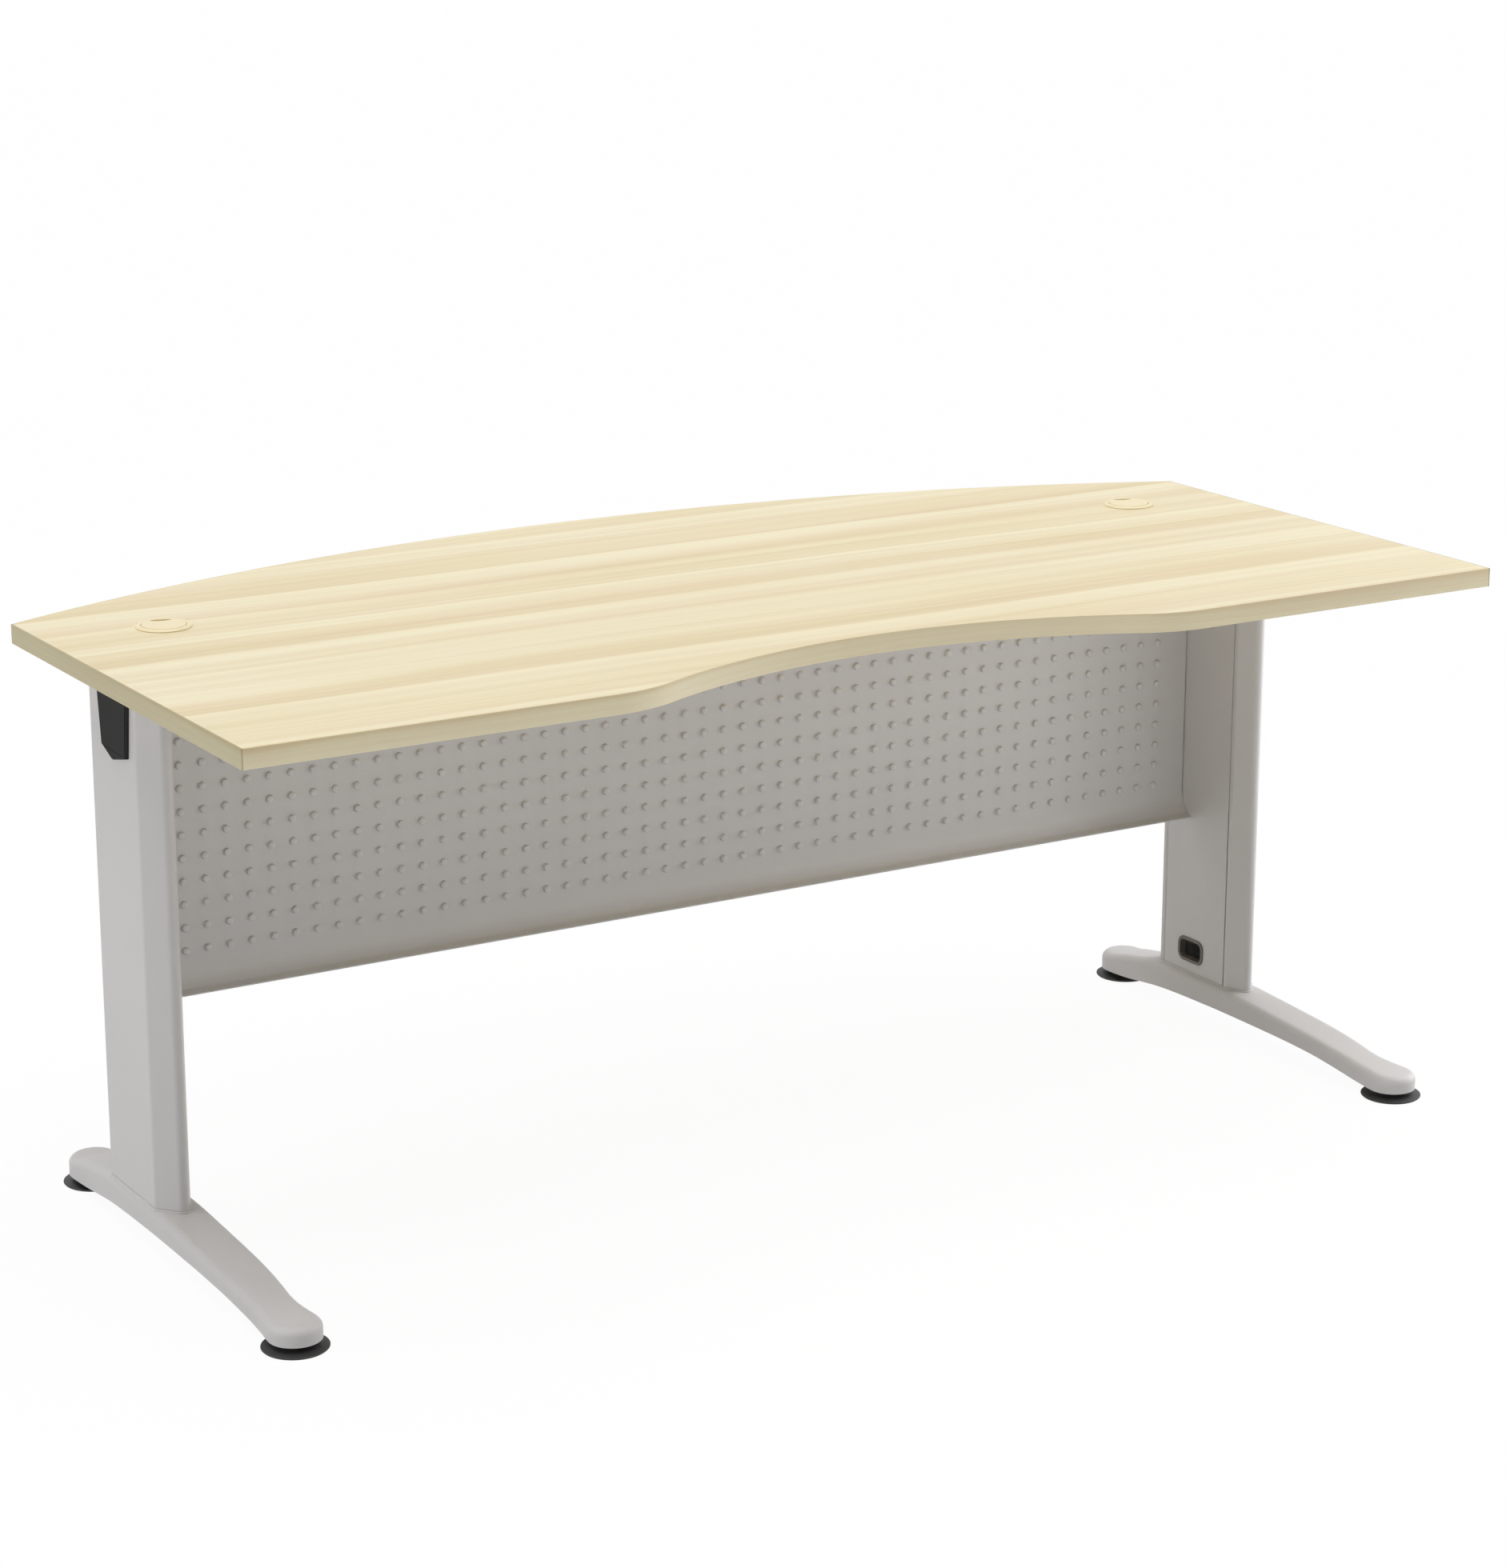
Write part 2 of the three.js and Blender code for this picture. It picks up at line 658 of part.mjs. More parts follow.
function panelBoltHeights() {
  const low = PANEL_BOTTOM + PANEL_BOLT_MARGIN + PANEL_ROLL_RADIUS / 2;
  const high = PANEL_TOP - PANEL_BOLT_MARGIN;
  const step = (high - low) / (PANEL_BOLT_COUNT - 1);
  return Array.from({ length: PANEL_BOLT_COUNT }, (_, i) => low + i * step);
}

// Flat plate that closes the cable way of the leg, held by tabs behind the lips
function cableCover() {
  const [front, rear] = coverOpening();
  const sides = [front + COVER_GROOVE, rear - COVER_GROOVE];
  const face = block([INNER_FACE, INNER_FACE + COVER_THICKNESS], sides, [UPRIGHT_BOTTOM, UPRIGHT_TOP]);
  const tabReach = [INNER_FACE, INNER_FACE + COVER_THICKNESS + TAB_DEPTH];
  const tabs = [TAB_LOW_HEIGHT, TAB_MIDDLE_HEIGHT, UPRIGHT_TOP - TAB_TOP_DROP].flatMap((height) => {
    const span = [height - TAB_LENGTH / 2, height + TAB_LENGTH / 2];
    return [
      block(tabReach, [sides[0], sides[0] + COVER_THICKNESS], span),
      block(tabReach, [sides[1] - COVER_THICKNESS, sides[1]], span),
    ];
  });
  const reach = [INNER_FACE - OVERRUN, INNER_FACE + COVER_THICKNESS + OVERRUN];
  const outletHole = outletPrism(-OUTLET_LIP + HOLE_CLEARANCE, ...reach);
  const boltHoles = panelBoltHeights().map((z) => (
    crossPost(PANEL_BOLT_RADIUS + HOLE_CLEARANCE, ...reach, PANEL_BOLT_Y, z)
  ));
  return cut(join(face, ...tabs), outletHole, mergeGeometries(boltHoles));
}

// The outlet's outline grown by a margin and drawn through the cover
function outletPrism(margin, start, end) {
  const width = OUTLET_WIDTH + 2 * margin;
  const height = OUTLET_HEIGHT + 2 * margin;
  const shape = shapeOf(roundedRectangle(width, height, OUTLET_RADIUS + margin));
  const prism = drawnAlongX(shape, start, end);
  prism.translate(0, FRONT_Y + OUTLET_FRONT_INSET, OUTLET_CENTRE_HEIGHT);
  return prism;
}

// Plastic ring with a lip on the cover and a short tube through it
function cableOutlet() {
  const lipStart = INNER_FACE - SEAT_GAP - OUTLET_PROUD;
  const lip = outletPrism(0, lipStart, INNER_FACE - SEAT_GAP);
  const tube = outletPrism(-OUTLET_LIP, lipStart, INNER_FACE + OUTLET_DEPTH);
  const through = outletPrism(
    -OUTLET_LIP - OUTLET_WALL,
    lipStart - OVERRUN,
    INNER_FACE + OUTLET_DEPTH + OVERRUN,
  );
  return cut(join(lip, tube), through);
}

// Plate across the opening, behind the cover, that the modesty panel is bolted to
function panelBracket() {
  const [front, rear] = coverOpening();
  const start = INNER_FACE + COVER_THICKNESS + SEAT_GAP;
  const heights = panelBoltHeights();
  const plate = block(
    [start, start + PANEL_BRACKET_THICKNESS],
    [front + SEAT_GAP, rear - SEAT_GAP],
    [heights[0] - PANEL_BRACKET_MARGIN, heights.at(-1) + PANEL_BRACKET_MARGIN / 2],
  );
  const holes = heights.map((z) => {
    const reach = [start - OVERRUN, start + PANEL_BRACKET_THICKNESS + OVERRUN];
    return crossPost(PANEL_BOLT_RADIUS + HOLE_CLEARANCE, ...reach, PANEL_BOLT_Y, z);
  });
  return cut(plate, mergeGeometries(holes));
}

// Shield-shaped cap with chamfered edges, held by two pegs in the upright
function bracketCap() {
  const left = FRONT_Y + CAP_FRONT_INSET;
  const bottom = BOARD_UNDERSIDE - CAP_TOP_DROP - CAP_HEIGHT;
  const corners = CAP_CORNER_SHARES.map(([across, up]) => [
    left + across * CAP_WIDTH,
    bottom + up * CAP_HEIGHT,
  ]);
  const seat = OUTER_FACE + SEAT_GAP;
  const face = seat + CAP_THICKNESS;
  const rings = [
    ringAtX(corners, seat),
    ringAtX(corners, face - CAP_CHAMFER),
    ringAtX(inset(corners, CAP_CHAMFER), face),
  ];
  const pegs = capPegPlaces().map(([y, z]) => (
    crossPost(CAP_PEG_RADIUS, seat - CAP_PEG_LENGTH, seat + CAP_CHAMFER, y, z)
  ));
  return join(loft(rings), ...pegs);
}

function ringAtX(corners, x) {
  return corners.map(([y, z]) => [x, y, z]).reverse();
}

// Foot. Every station is a ring across the foot; the toes' stations follow a half circle.
function footStations() {
  const lengthwise = ([along, width, top, arch]) => ({
    y: FOOT_FRONT_Y + along * FOOT_LENGTH,
    radius: width * TOE_RADIUS,
    past: 0,
    top: TOE_TOP + top * (FOOT_TOP - TOE_TOP),
    bottom: TOE_BOTTOM + arch * ARCH_RISE,
  });
  const toe = (centre, direction, top) => (turn) => ({
    y: centre,
    direction,
    turn: degrees(turn),
    radius: TOE_RADIUS,
    top,
    bottom: TOE_BOTTOM,
  });
  const frontCentre = FOOT_FRONT_Y + TOE_RADIUS;
  const rearCentre = FOOT_FRONT_Y + FOOT_LENGTH - TOE_RADIUS;
  return [
    ...TOE_TURN_DEGREES.map(toe(frontCentre, -1, TOE_TOP)),
    ...FOOT_STATION_SHARES.map(lengthwise),
    ...TOE_TURN_DEGREES.map(toe(rearCentre, 1, REAR_TOE_TOP)).reverse(),
  ];
}

function footRing(station, wall) {
  const radius = station.radius - wall;
  const past = station.turn ? radius * Math.sin(station.turn) : 0;
  const halfChord = Math.sqrt(radius ** 2 - past ** 2);
  const y = station.y + (station.direction ?? 0) * past;
  const edge = Math.max(FOOT_EDGE_RADIUS - wall, UPRIGHT_WALL);
  const top = station.top - wall;
  const heightAt = (x) => {
    const margin = Math.min(Math.max(radius - Math.hypot(x, past), 0), edge);
    return top - edge + Math.sqrt(edge ** 2 - (edge - margin) ** 2);
  };
  const bottom = wall > 0 ? station.bottom - OVERRUN : station.bottom;
  const right = SECTION_SHARES.map((share) => [share * halfChord, y, heightAt(share * halfChord)]);
  const left = right.map(([x, , z]) => [-x, y, z]).reverse();
  return [[-halfChord, y, bottom], [halfChord, y, bottom], ...right, [0, y, heightAt(0)], ...left];
}

function footLoft(wall) {
  return loft(footStations().map((station) => footRing(station, wall)));
}

function glidePlaces() {
  return [
    ['front', FOOT_FRONT_Y + TOE_RADIUS, TOE_TOP],
    ['rear', FOOT_FRONT_Y + FOOT_LENGTH - TOE_RADIUS, REAR_TOE_TOP],
  ];
}

// Arched casting, hollow underneath, with a pad for the upright and bosses for studs and bolts
function foot() {
  const body = footLoft(0);
  const pad = raised(uprightOutline(-PAD_MARGIN), PAD_TOP - PAD_DEPTH, PAD_TOP);
  const toeBosses = glidePlaces().map(([, y, top]) => (
    post(TOE_BOSS_RADIUS, TOE_BOTTOM, top - FOOT_WALL / 2, 0, y)
  ));
  const boltBosses = alongLeg(FOOT_BOLT_SPACING).map((y) => (
    post(BOLT_BOSS_RADIUS, BOLT_BOSS_BOTTOM, PAD_TOP - PAD_DEPTH / 2, 0, y)
  ));
  const studHoles = glidePlaces().map(([, y]) => {
    const top = STUD_TOP + HOLE_CLEARANCE;
    return post(STUD_RADIUS + HOLE_CLEARANCE, TOE_BOTTOM - OVERRUN, top, 0, y);
  });
  const boltHoles = alongLeg(FOOT_BOLT_SPACING).map((y) => {
    const radius = FOOT_BOLT_RADIUS + HOLE_CLEARANCE;
    return post(radius, BOLT_BOSS_BOTTOM - OVERRUN, PAD_TOP + OVERRUN, 0, y);
  });
  const shell = cut(body, footLoft(FOOT_WALL));
  const whole = join(shell, pad, ...toeBosses, ...boltBosses);
  return cut(whole, mergeGeometries([...studHoles, ...boltHoles]));
}

// Every fastener is a round head below its seat and a shank above it.
function fastener(radius, headRadius, head, length) {
  const profile = [
    [0, -head],
    [headRadius, -head],
    [headRadius, 0],
    [radius, 0],
    [radius, length],
    [0, length],
  ];
  return turned(profile, SMALL_ROUND);
}

// Bolts up through the foot into the upright's base plate
function footBolts() {
  const seat = BOLT_BOSS_BOTTOM - SEAT_GAP;
  const tip = UPRIGHT_BOTTOM + BASE_PLATE_THICKNESS + FOOT_BOLT_TAIL;
  return alongLeg(FOOT_BOLT_SPACING).map((y) => {
    const piece = fastener(FOOT_BOLT_RADIUS, FOOT_BOLT_HEAD_RADIUS, FOOT_BOLT_HEAD, tip - seat);
    return piece.translate(0, y, seat);
  });
}

// Bolts down through the bearer's web into the upright's top plate
function bearerBolts() {
  const seat = BEARER_BOTTOM + BEARER_SHEET + SEAT_GAP;
  const tip = UPRIGHT_TOP - TOP_PLATE_THICKNESS - BEARER_BOLT_TAIL;
  const length = seat - tip;
  return alongLeg(BEARER_BOLT_SPACING).map((y) => {
    const piece = fastener(BEARER_BOLT_RADIUS, BEARER_BOLT_HEAD_RADIUS, BEARER_BOLT_HEAD, length);
    return piece.rotateX(Math.PI).translate(0, y, seat);
  });
}

function topScrewPlaces() {
  const across = BEARER_WEB / 2 + BEARER_LIP / 2;
  const front = FRONT_Y + BEARER_FRONT_INSET + TOP_SCREW_END_INSET;
  const rear = FRONT_Y + BEARER_FRONT_INSET + BEARER_LENGTH - TOP_SCREW_END_INSET;
  return [[-across, front], [across, front], [-across, rear], [across, rear]];
}

// Screws up through the bearer's lips into the worktop
function topScrews() {
  const seat = BOARD_UNDERSIDE - SEAT_GAP - BEARER_SHEET - SEAT_GAP;
  const length = BOARD_UNDERSIDE + TOP_SCREW_LENGTH - seat;
  return topScrewPlaces().map(([x, y]) => {
    const piece = fastener(TOP_SCREW_RADIUS, TOP_SCREW_HEAD_RADIUS, TOP_SCREW_HEAD, length);
    return piece.translate(x, y, seat);
  });
}

// Bolts through the panel's flange and the cover into the panel bracket
function panelBolts() {
  const seat = INNER_FACE - SEAT_GAP - PANEL_SHEET - SEAT_GAP;
  return panelBoltHeights().map((z) => {
    const head = [PANEL_BOLT_HEAD_RADIUS, PANEL_BOLT_HEAD];
    const piece = fastener(PANEL_BOLT_RADIUS, ...head, PANEL_BOLT_LENGTH);
    return piece.rotateY(Math.PI / 2).translate(seat, PANEL_BOLT_Y, z);
  });
}

// Hat-section bearer with tapered ends, under the worktop
function bearer() {
  const web = BEARER_WEB / 2;
  const lip = web + BEARER_LIP;
  const top = BEARER_BOTTOM + BEARER_HEIGHT;
  const path = [
    [-lip, top - BEARER_SHEET],
    [-web, top - BEARER_SHEET],
    [-web, BEARER_BOTTOM],
    [web, BEARER_BOTTOM],
    [web, top - BEARER_SHEET],
    [lip, top - BEARER_SHEET],
  ];
  const start = FRONT_Y + BEARER_FRONT_INSET;
  const end = start + BEARER_LENGTH;
  const channel = drawnAlongY(shapeOf(sheetOutline(path, BEARER_SHEET)), start, end);
  const wedge = (tip, direction) => {
    const corners = [
      [tip - direction * OVERRUN, BEARER_BOTTOM - OVERRUN],
      [tip + direction * BEARER_TAPER_LENGTH, BEARER_BOTTOM - OVERRUN],
      [tip + direction * BEARER_TAPER_LENGTH, BEARER_BOTTOM],
      [tip - direction * OVERRUN, BEARER_BOTTOM + BEARER_TAPER_HEIGHT],
    ];
    const ordered = direction > 0 ? corners : corners.reverse();
    return drawnAlongX(shapeOf(ordered), -lip - OVERRUN, lip + OVERRUN);
  };
  const boltHoles = alongLeg(BEARER_BOLT_SPACING).map((y) => {
    const span = [BEARER_BOTTOM - OVERRUN, BEARER_BOTTOM + BEARER_SHEET + OVERRUN];
    return post(BEARER_BOLT_RADIUS + HOLE_CLEARANCE, ...span, 0, y);
  });
  const screwHoles = topScrewPlaces().map(([x, y]) => (
    post(TOP_SCREW_RADIUS + HOLE_CLEARANCE, top - BEARER_SHEET - OVERRUN, top + OVERRUN, x, y)
  ));
  const tools = [wedge(start, 1), wedge(end, -1), mergeGeometries([...boltHoles, ...screwHoles])];
  return cut(channel, ...tools);
}

// Side view of the panel's lower edge, from the flat face down through the roll to the lip, both
// of which lean out towards the user
function panelLowerPath() {
  const roll = degrees(PANEL_ROLL_DEGREES);
  const lip = degrees(PANEL_LIP_DEGREES);
  const lipRise = PANEL_LIP * Math.cos(lip);
  const lipReach = PANEL_LIP * Math.sin(lip);
  const rollTop = PANEL_BOTTOM + lipRise + PANEL_ROLL_RADIUS * Math.sin(roll);
  const rollPoints = arcPoints(PANEL_Y - PANEL_ROLL_RADIUS, rollTop, PANEL_ROLL_RADIUS, 0, -roll, 4);
  const [endY, endZ] = rollPoints.at(-1);
  return {
    rollTop,
    path: [
      [PANEL_Y, rollTop + OVERRUN],
      ...rollPoints,
      [endY - lipReach, endZ - lipRise],
    ],
  };
}

// The grid of bumps pressed out of the panel's face, each a flat-topped pyramid
function bumps() {
  const root = PANEL_SHEET / 2;
  const height = BUMP_HEIGHT + root;
  const rootRadius = BUMP_RADIUS + (BUMP_RADIUS - BUMP_TOP_RADIUS) * (root / BUMP_HEIGHT);
  const pressed = new THREE.CylinderGeometry(rootRadius, BUMP_TOP_RADIUS, height, BUMP_SIDES);
  const grid = [];
  for (let row = 0; row < BUMP_ROWS; row += 1) {
    for (let column = 0; column < BUMP_COLUMNS; column += 1) {
      const x = (column - (BUMP_COLUMNS - 1) / 2) * BUMP_PITCH;
      const z = FIRST_BUMP_Z + row * BUMP_PITCH;
      grid.push(pressed.clone().translate(x, PANEL_Y + root - height / 2, z));
    }
  }
  return mergeGeometries(grid);
}

// Folded sheet between the legs: a face with pressed bumps, flanges at both ends, a return along
// the top and a lower edge that rolls out towards the user
function modestyPanel() {
  const { rollTop, path } = panelLowerPath();
  const rear = PANEL_Y + PANEL_FLANGE;
  const plan = (margin, back) => {
    const half = PANEL_END - margin;
    const radius = PANEL_FOLD_RADIUS - margin;
    return [
      ...arcPoints(-half + radius, PANEL_Y + margin + radius, radius, Math.PI, 1.5 * Math.PI, 4),
      ...arcPoints(half - radius, PANEL_Y + margin + radius, radius, 1.5 * Math.PI, 2 * Math.PI, 4),
      [half, back],
      [-half, back],
    ];
  };
  const innerPlan = shapeOf(plan(PANEL_SHEET, rear + OVERRUN));
  const outer = raised(shapeOf(plan(0, rear)), rollTop, PANEL_TOP);
  const inner = raised(innerPlan, rollTop - OVERRUN, PANEL_TOP - PANEL_SHEET);
  const lower = drawnAlongX(shapeOf(sheetOutline(path, PANEL_SHEET)), -PANEL_END, PANEL_END);
  const reach = [-PANEL_END - OVERRUN, PANEL_END + OVERRUN];
  const boltHoles = panelBoltHeights().map((z) => (
    crossPost(PANEL_BOLT_RADIUS + HOLE_CLEARANCE, ...reach, PANEL_BOLT_Y, z)
  ));
  const folded = join(cut(outer, inner), lower, bumps());
  const drilled = cut(folded, mergeGeometries(boltHoles));
  return toGeometry(toSolid(drilled).simplify());
}

// Levelling glides
function glideDisc() {
  return turned([
    [0, 0],
    [GLIDE_RADIUS - GLIDE_EDGE, 0],
    [GLIDE_RADIUS, GLIDE_EDGE],
    [GLIDE_RADIUS, GLIDE_RIM],
    [GLIDE_HUB_RADIUS, GLIDE_TOP],
    [GLIDE_SOCKET_RADIUS, GLIDE_TOP],
    [GLIDE_SOCKET_RADIUS, GLIDE_SOCKET_FLOOR],
    [0, GLIDE_SOCKET_FLOOR],
  ]);
}

function glideStud() {
  const ballTop = GLIDE_TOP + SEAT_GAP;
  const ball = post(
    GLIDE_SOCKET_RADIUS - STUD_BALL_CLEARANCE,
    GLIDE_SOCKET_FLOOR + SEAT_GAP,
    GLIDE_TOP - STUD_BALL_CLEARANCE,
  );
  const neck = post(STUD_RADIUS, GLIDE_SOCKET_FLOOR + SEAT_GAP, STUD_TOP);
  const hexagon = post(STUD_HEX_RADIUS, ballTop, TOE_BOTTOM - SEAT_GAP, 0, 0, HEX);
  return join(ball, neck, hexagon);
}

// Assembly
const desk = new THREE.Group();

function add(group, name, geometry, meshMaterial) {
  const mesh = new THREE.Mesh(geometry, meshMaterial);
  mesh.name = name;
  group.add(mesh);
  return mesh;
}

function addAll(group, names, geometries, meshMaterial) {
  geometries.forEach((geometry, i) => add(group, names[i], geometry, meshMaterial));
}

function addWorktop() {
  const worktop = new THREE.Group();
  add(worktop, 'top_board', topBoard(), laminate());
  add(worktop, 'front_edge_band', frontBand(), edging());
  add(worktop, 'rear_edge_band', rearBand(), edging());
  add(worktop, 'right_edge_band', endBand(), edging());
  add(worktop, 'left_edge_band', endBand(), edging()).scale.x = -1;
  for (const { side, x, y } of grommetPlaces()) {
    const grommet = new THREE.Group();
    grommet.position.set(x, y, TOP_HEIGHT);
    add(grommet, `${side}_grommet_sleeve`, grommetSleeve(), creamPlastic());
    const lid = add(grommet, `${side}_grommet_lid`, grommetLid(), creamPlastic());
    lid.rotation.z = degrees(LID_SLOT_TURN_DEGREES);
    worktop.add(grommet);
  }
  desk.add(worktop);
}

function basePlate() {
  const holes = [FOOT_BOLT_RADIUS, FOOT_BOLT_SPACING];
  return uprightPlate(UPRIGHT_BOTTOM, BASE_PLATE_THICKNESS, ...holes);
}

function topPlate() {
  const holes = [BEARER_BOLT_RADIUS, BEARER_BOLT_SPACING];
  return uprightPlate(UPRIGHT_TOP - TOP_PLATE_THICKNESS, TOP_PLATE_THICKNESS, ...holes);
}

// The two legs are mirror images.
function addLeg(name, side) {
  const leg = new THREE.Group();
  leg.position.x = side * LEG_X;
  leg.scale.x = side;
  const screwEnds = ['front_inner', 'front_outer', 'rear_inner', 'rear_outer'];
  const named = (piece, ends) => ends.map((end) => `${name}_${piece}_${end}`);
  add(leg, `${name}_foot`, foot(), greyCoat());
  add(leg, `${name}_upright`, uprightShell(), greyCoat());
  add(leg, `${name}_base_plate`, basePlate(), greyCoat());
  add(leg, `${name}_top_plate`, topPlate(), greyCoat());
  add(leg, `${name}_cable_cover`, cableCover(), greyCoat());
  add(leg, `${name}_cable_outlet`, cableOutlet(), darkPlastic());
  add(leg, `${name}_bracket_cap`, bracketCap(), blackPlastic());
  add(leg, `${name}_bearer`, bearer(), blackCoat());
  add(leg, `${name}_panel_bracket`, panelBracket(), greyCoat());
  addAll(leg, named('foot_bolt', ['front', 'rear']), footBolts(), zincSteel());
  addAll(leg, named('bearer_bolt', ['front', 'rear']), bearerBolts(), zincSteel());
  addAll(leg, named('top_screw', screwEnds), topScrews(), zincSteel());
  addAll(leg, named('panel_bolt', ['low', 'middle', 'high']), panelBolts(), zincSteel());
  for (const [end, y] of glidePlaces()) {
    const glide = new THREE.Group();
    glide.position.y = y;
    add(glide, `${name}_${end}_glide_disc`, glideDisc(), blackPlastic());
    add(glide, `${name}_${end}_glide_stud`, glideStud(), zincSteel());
    leg.add(glide);
  }
  desk.add(leg);
}

addWorktop();
addLeg('left', -1);
addLeg('right', 1);
add(desk, 'modesty_panel', modestyPanel(), greyCoat());

export default desk;
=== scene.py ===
# %% [markdown]
# # An executive desk, piece by piece
# The desk is a wave-fronted worktop on two steel legs, with a steel screen between them.
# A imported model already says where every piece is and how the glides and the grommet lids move.
# This script dresses that model: it draws each piece again with rounder edges and gives it a
# finish. Lengths are in metres, +Z is up, and the user sits on the -Y side.

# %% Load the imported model
import math

import bmesh
import bpy
from mathutils import Matrix, Vector


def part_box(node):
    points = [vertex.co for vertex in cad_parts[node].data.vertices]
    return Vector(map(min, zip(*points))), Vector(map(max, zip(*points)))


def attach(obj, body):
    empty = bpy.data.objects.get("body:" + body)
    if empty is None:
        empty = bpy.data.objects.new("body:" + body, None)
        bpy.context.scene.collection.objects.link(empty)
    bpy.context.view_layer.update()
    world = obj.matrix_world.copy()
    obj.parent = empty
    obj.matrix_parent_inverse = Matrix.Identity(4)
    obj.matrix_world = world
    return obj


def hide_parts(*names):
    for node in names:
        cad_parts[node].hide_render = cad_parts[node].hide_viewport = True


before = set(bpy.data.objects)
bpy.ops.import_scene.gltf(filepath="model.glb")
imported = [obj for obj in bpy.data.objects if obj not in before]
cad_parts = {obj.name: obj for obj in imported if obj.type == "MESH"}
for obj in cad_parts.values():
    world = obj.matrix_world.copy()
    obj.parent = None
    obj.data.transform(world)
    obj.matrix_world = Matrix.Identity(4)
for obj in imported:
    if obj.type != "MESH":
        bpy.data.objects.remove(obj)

scene = bpy.context.scene
scene.view_settings.view_transform = "Standard"
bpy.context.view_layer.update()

# %% [markdown]
# ## Camera
# The photograph was taken from the front left, a little above the worktop, with a long lens.
# Place, turn and focal length were worked out from the worktop's straight edges and the square
# grid of bumps on the screen, so the camera needs no shift.

# %% Place the camera
CAMERA_PLACE = (-2.545, -4.248, 1.851)
CAMERA_DEGREES = (74.461, -0.051, -31.196)
LENS_LENGTH = 88.94
SENSOR_WIDTH = 36
SIGHT_RANGE = 400

camera_data = bpy.data.cameras.new("desk_camera")
camera_data.lens = LENS_LENGTH
camera_data.sensor_width = SENSOR_WIDTH
camera_data.clip_end = SIGHT_RANGE
camera = bpy.data.objects.new("desk_camera", camera_data)
camera.location = CAMERA_PLACE
camera.rotation_euler = [math.radians(angle) for angle in CAMERA_DEGREES]
scene.collection.objects.link(camera)
scene.camera = camera
print("camera", CAMERA_PLACE, "lens", LENS_LENGTH)

# %% [markdown]
# ## Node helpers
# A material is a graph of nodes. Writing one line for each node, with its inputs given as values
# or as another node's output, keeps such a graph short enough to read.

# %% Helpers for node graphs
def add_node(tree, kind, inputs=None, **settings):
    made = tree.nodes.new(kind)
    for key, value in settings.items():
        setattr(made, key, value)
    for key, value in (inputs or {}).items():
        if isinstance(value, bpy.types.NodeSocket):
            tree.links.new(value, made.inputs[key])
        else:
            made.inputs[key].default_value = value
    return made


def calculate(tree, operation, *values):
    inputs = dict(enumerate(values))
    return add_node(tree, "ShaderNodeMath", inputs, operation=operation).outputs[0]


def mix_colours(tree, share, first, second):
    inputs = {0: share, 6: first, 7: second}
    return add_node(tree, "ShaderNodeMix", inputs, data_type="RGBA").outputs[2]


def screen_colour(red, green, blue):
    """A colour as read on a screen, from 0 to 255, turned into the linear values Blender uses."""
    shares = [value / 255 for value in (red, green, blue)]
    linear = [s / 12.92 if s < 0.04045 else ((s + 0.055) / 1.055) ** 2.4 for s in shares]
    return (*linear, 1.0)


def remap(tree, value, low, high, to_low, to_high):
    """Stretches the range low to high of a value to the range to_low to to_high."""
    return add_node(tree, "ShaderNodeMapRange", {
        "Value": value, "From Min": low, "From Max": high, "To Min": to_low, "To Max": to_high,
    }).outputs[0]


def new_group(name, inputs, outputs):
    """A node group with named sockets. Returns its tree, its input sockets and its output node."""
    tree = bpy.data.node_groups.new(name, "ShaderNodeTree")
    for title, value in inputs.items():
        kind = "NodeSocketColor" if isinstance(value, tuple) else "NodeSocketFloat"
        if value is None:
            kind = "NodeSocketVector"
        socket = tree.interface.new_socket(name=title, in_out="INPUT", socket_type=kind)
        if value is not None:
            socket.default_value = value
    for title, kind in outputs.items():
        tree.interface.new_socket(name=title, in_out="OUTPUT", socket_type=kind)
    return tree, tree.nodes.new("NodeGroupInput").outputs, tree.nodes.new("NodeGroupOutput")


def noise(tree, vector, scale, detail, roughness):
    inputs = {"Vector": vector, "Scale": scale, "Detail": detail, "Roughness": roughness}
    return add_node(tree, "ShaderNodeTexNoise", inputs).outputs["Fac"]


def swing_about_zero(tree, value):
    """A noise lies round 0.5; this moves it to lie round 0."""
    return calculate(tree, "SUBTRACT", value, 0.5)


# %% [markdown]
# ## Light and floor
# The room is a plain white studio. A broad lamp straight above lights the worktop, and the white
# floor throws much of that light back up onto the panel and the legs, as it does in a real studio.
# A second lamp from the left lights the outer face of the left leg, two faint ones come from the
# right, and a small softbox stands low at the right, where it brightens the right foot. The camera
# itself sees a plain white world, and a floor that keeps only a faint shadow of the desk.

# %% Light the studio
SKY_LIGHT = 0.08
FLOOR_BOUNCE = 0.8
FLOOR_SHADOW = 0.05
# Each lamp has its strength, its spread in degrees and the way from the desk to it.
LAMPS = {
    "top_lamp": (2.1, 60, (0.0, 0.0, 1.0)),
    "left_lamp": (0.85, 40, (-1.0, 0.1, 0.3)),
    "right_lamp": (0.3, 40, (1.0, -0.3, 0.9)),
    "front_lamp": (0.3, 40, (0.8, -1.0, 0.05)),
}

WHITE = (1, 1, 1, 1)


def is_seen(tree):
    """1 where the camera looks, also by way of gloss or glass, and 0 where only light goes."""
    rays = add_node(tree, "ShaderNodeLightPath").outputs
    seen = calculate(tree, "MAXIMUM", rays["Is Camera Ray"], rays["Is Glossy Ray"])
    return calculate(tree, "MAXIMUM", seen, rays["Is Transmission Ray"])


def mix_shaders(tree, share, first, second):
    inputs = {0: share, 1: first.outputs[0], 2: second.outputs[0]}
    return add_node(tree, "ShaderNodeMixShader", inputs)


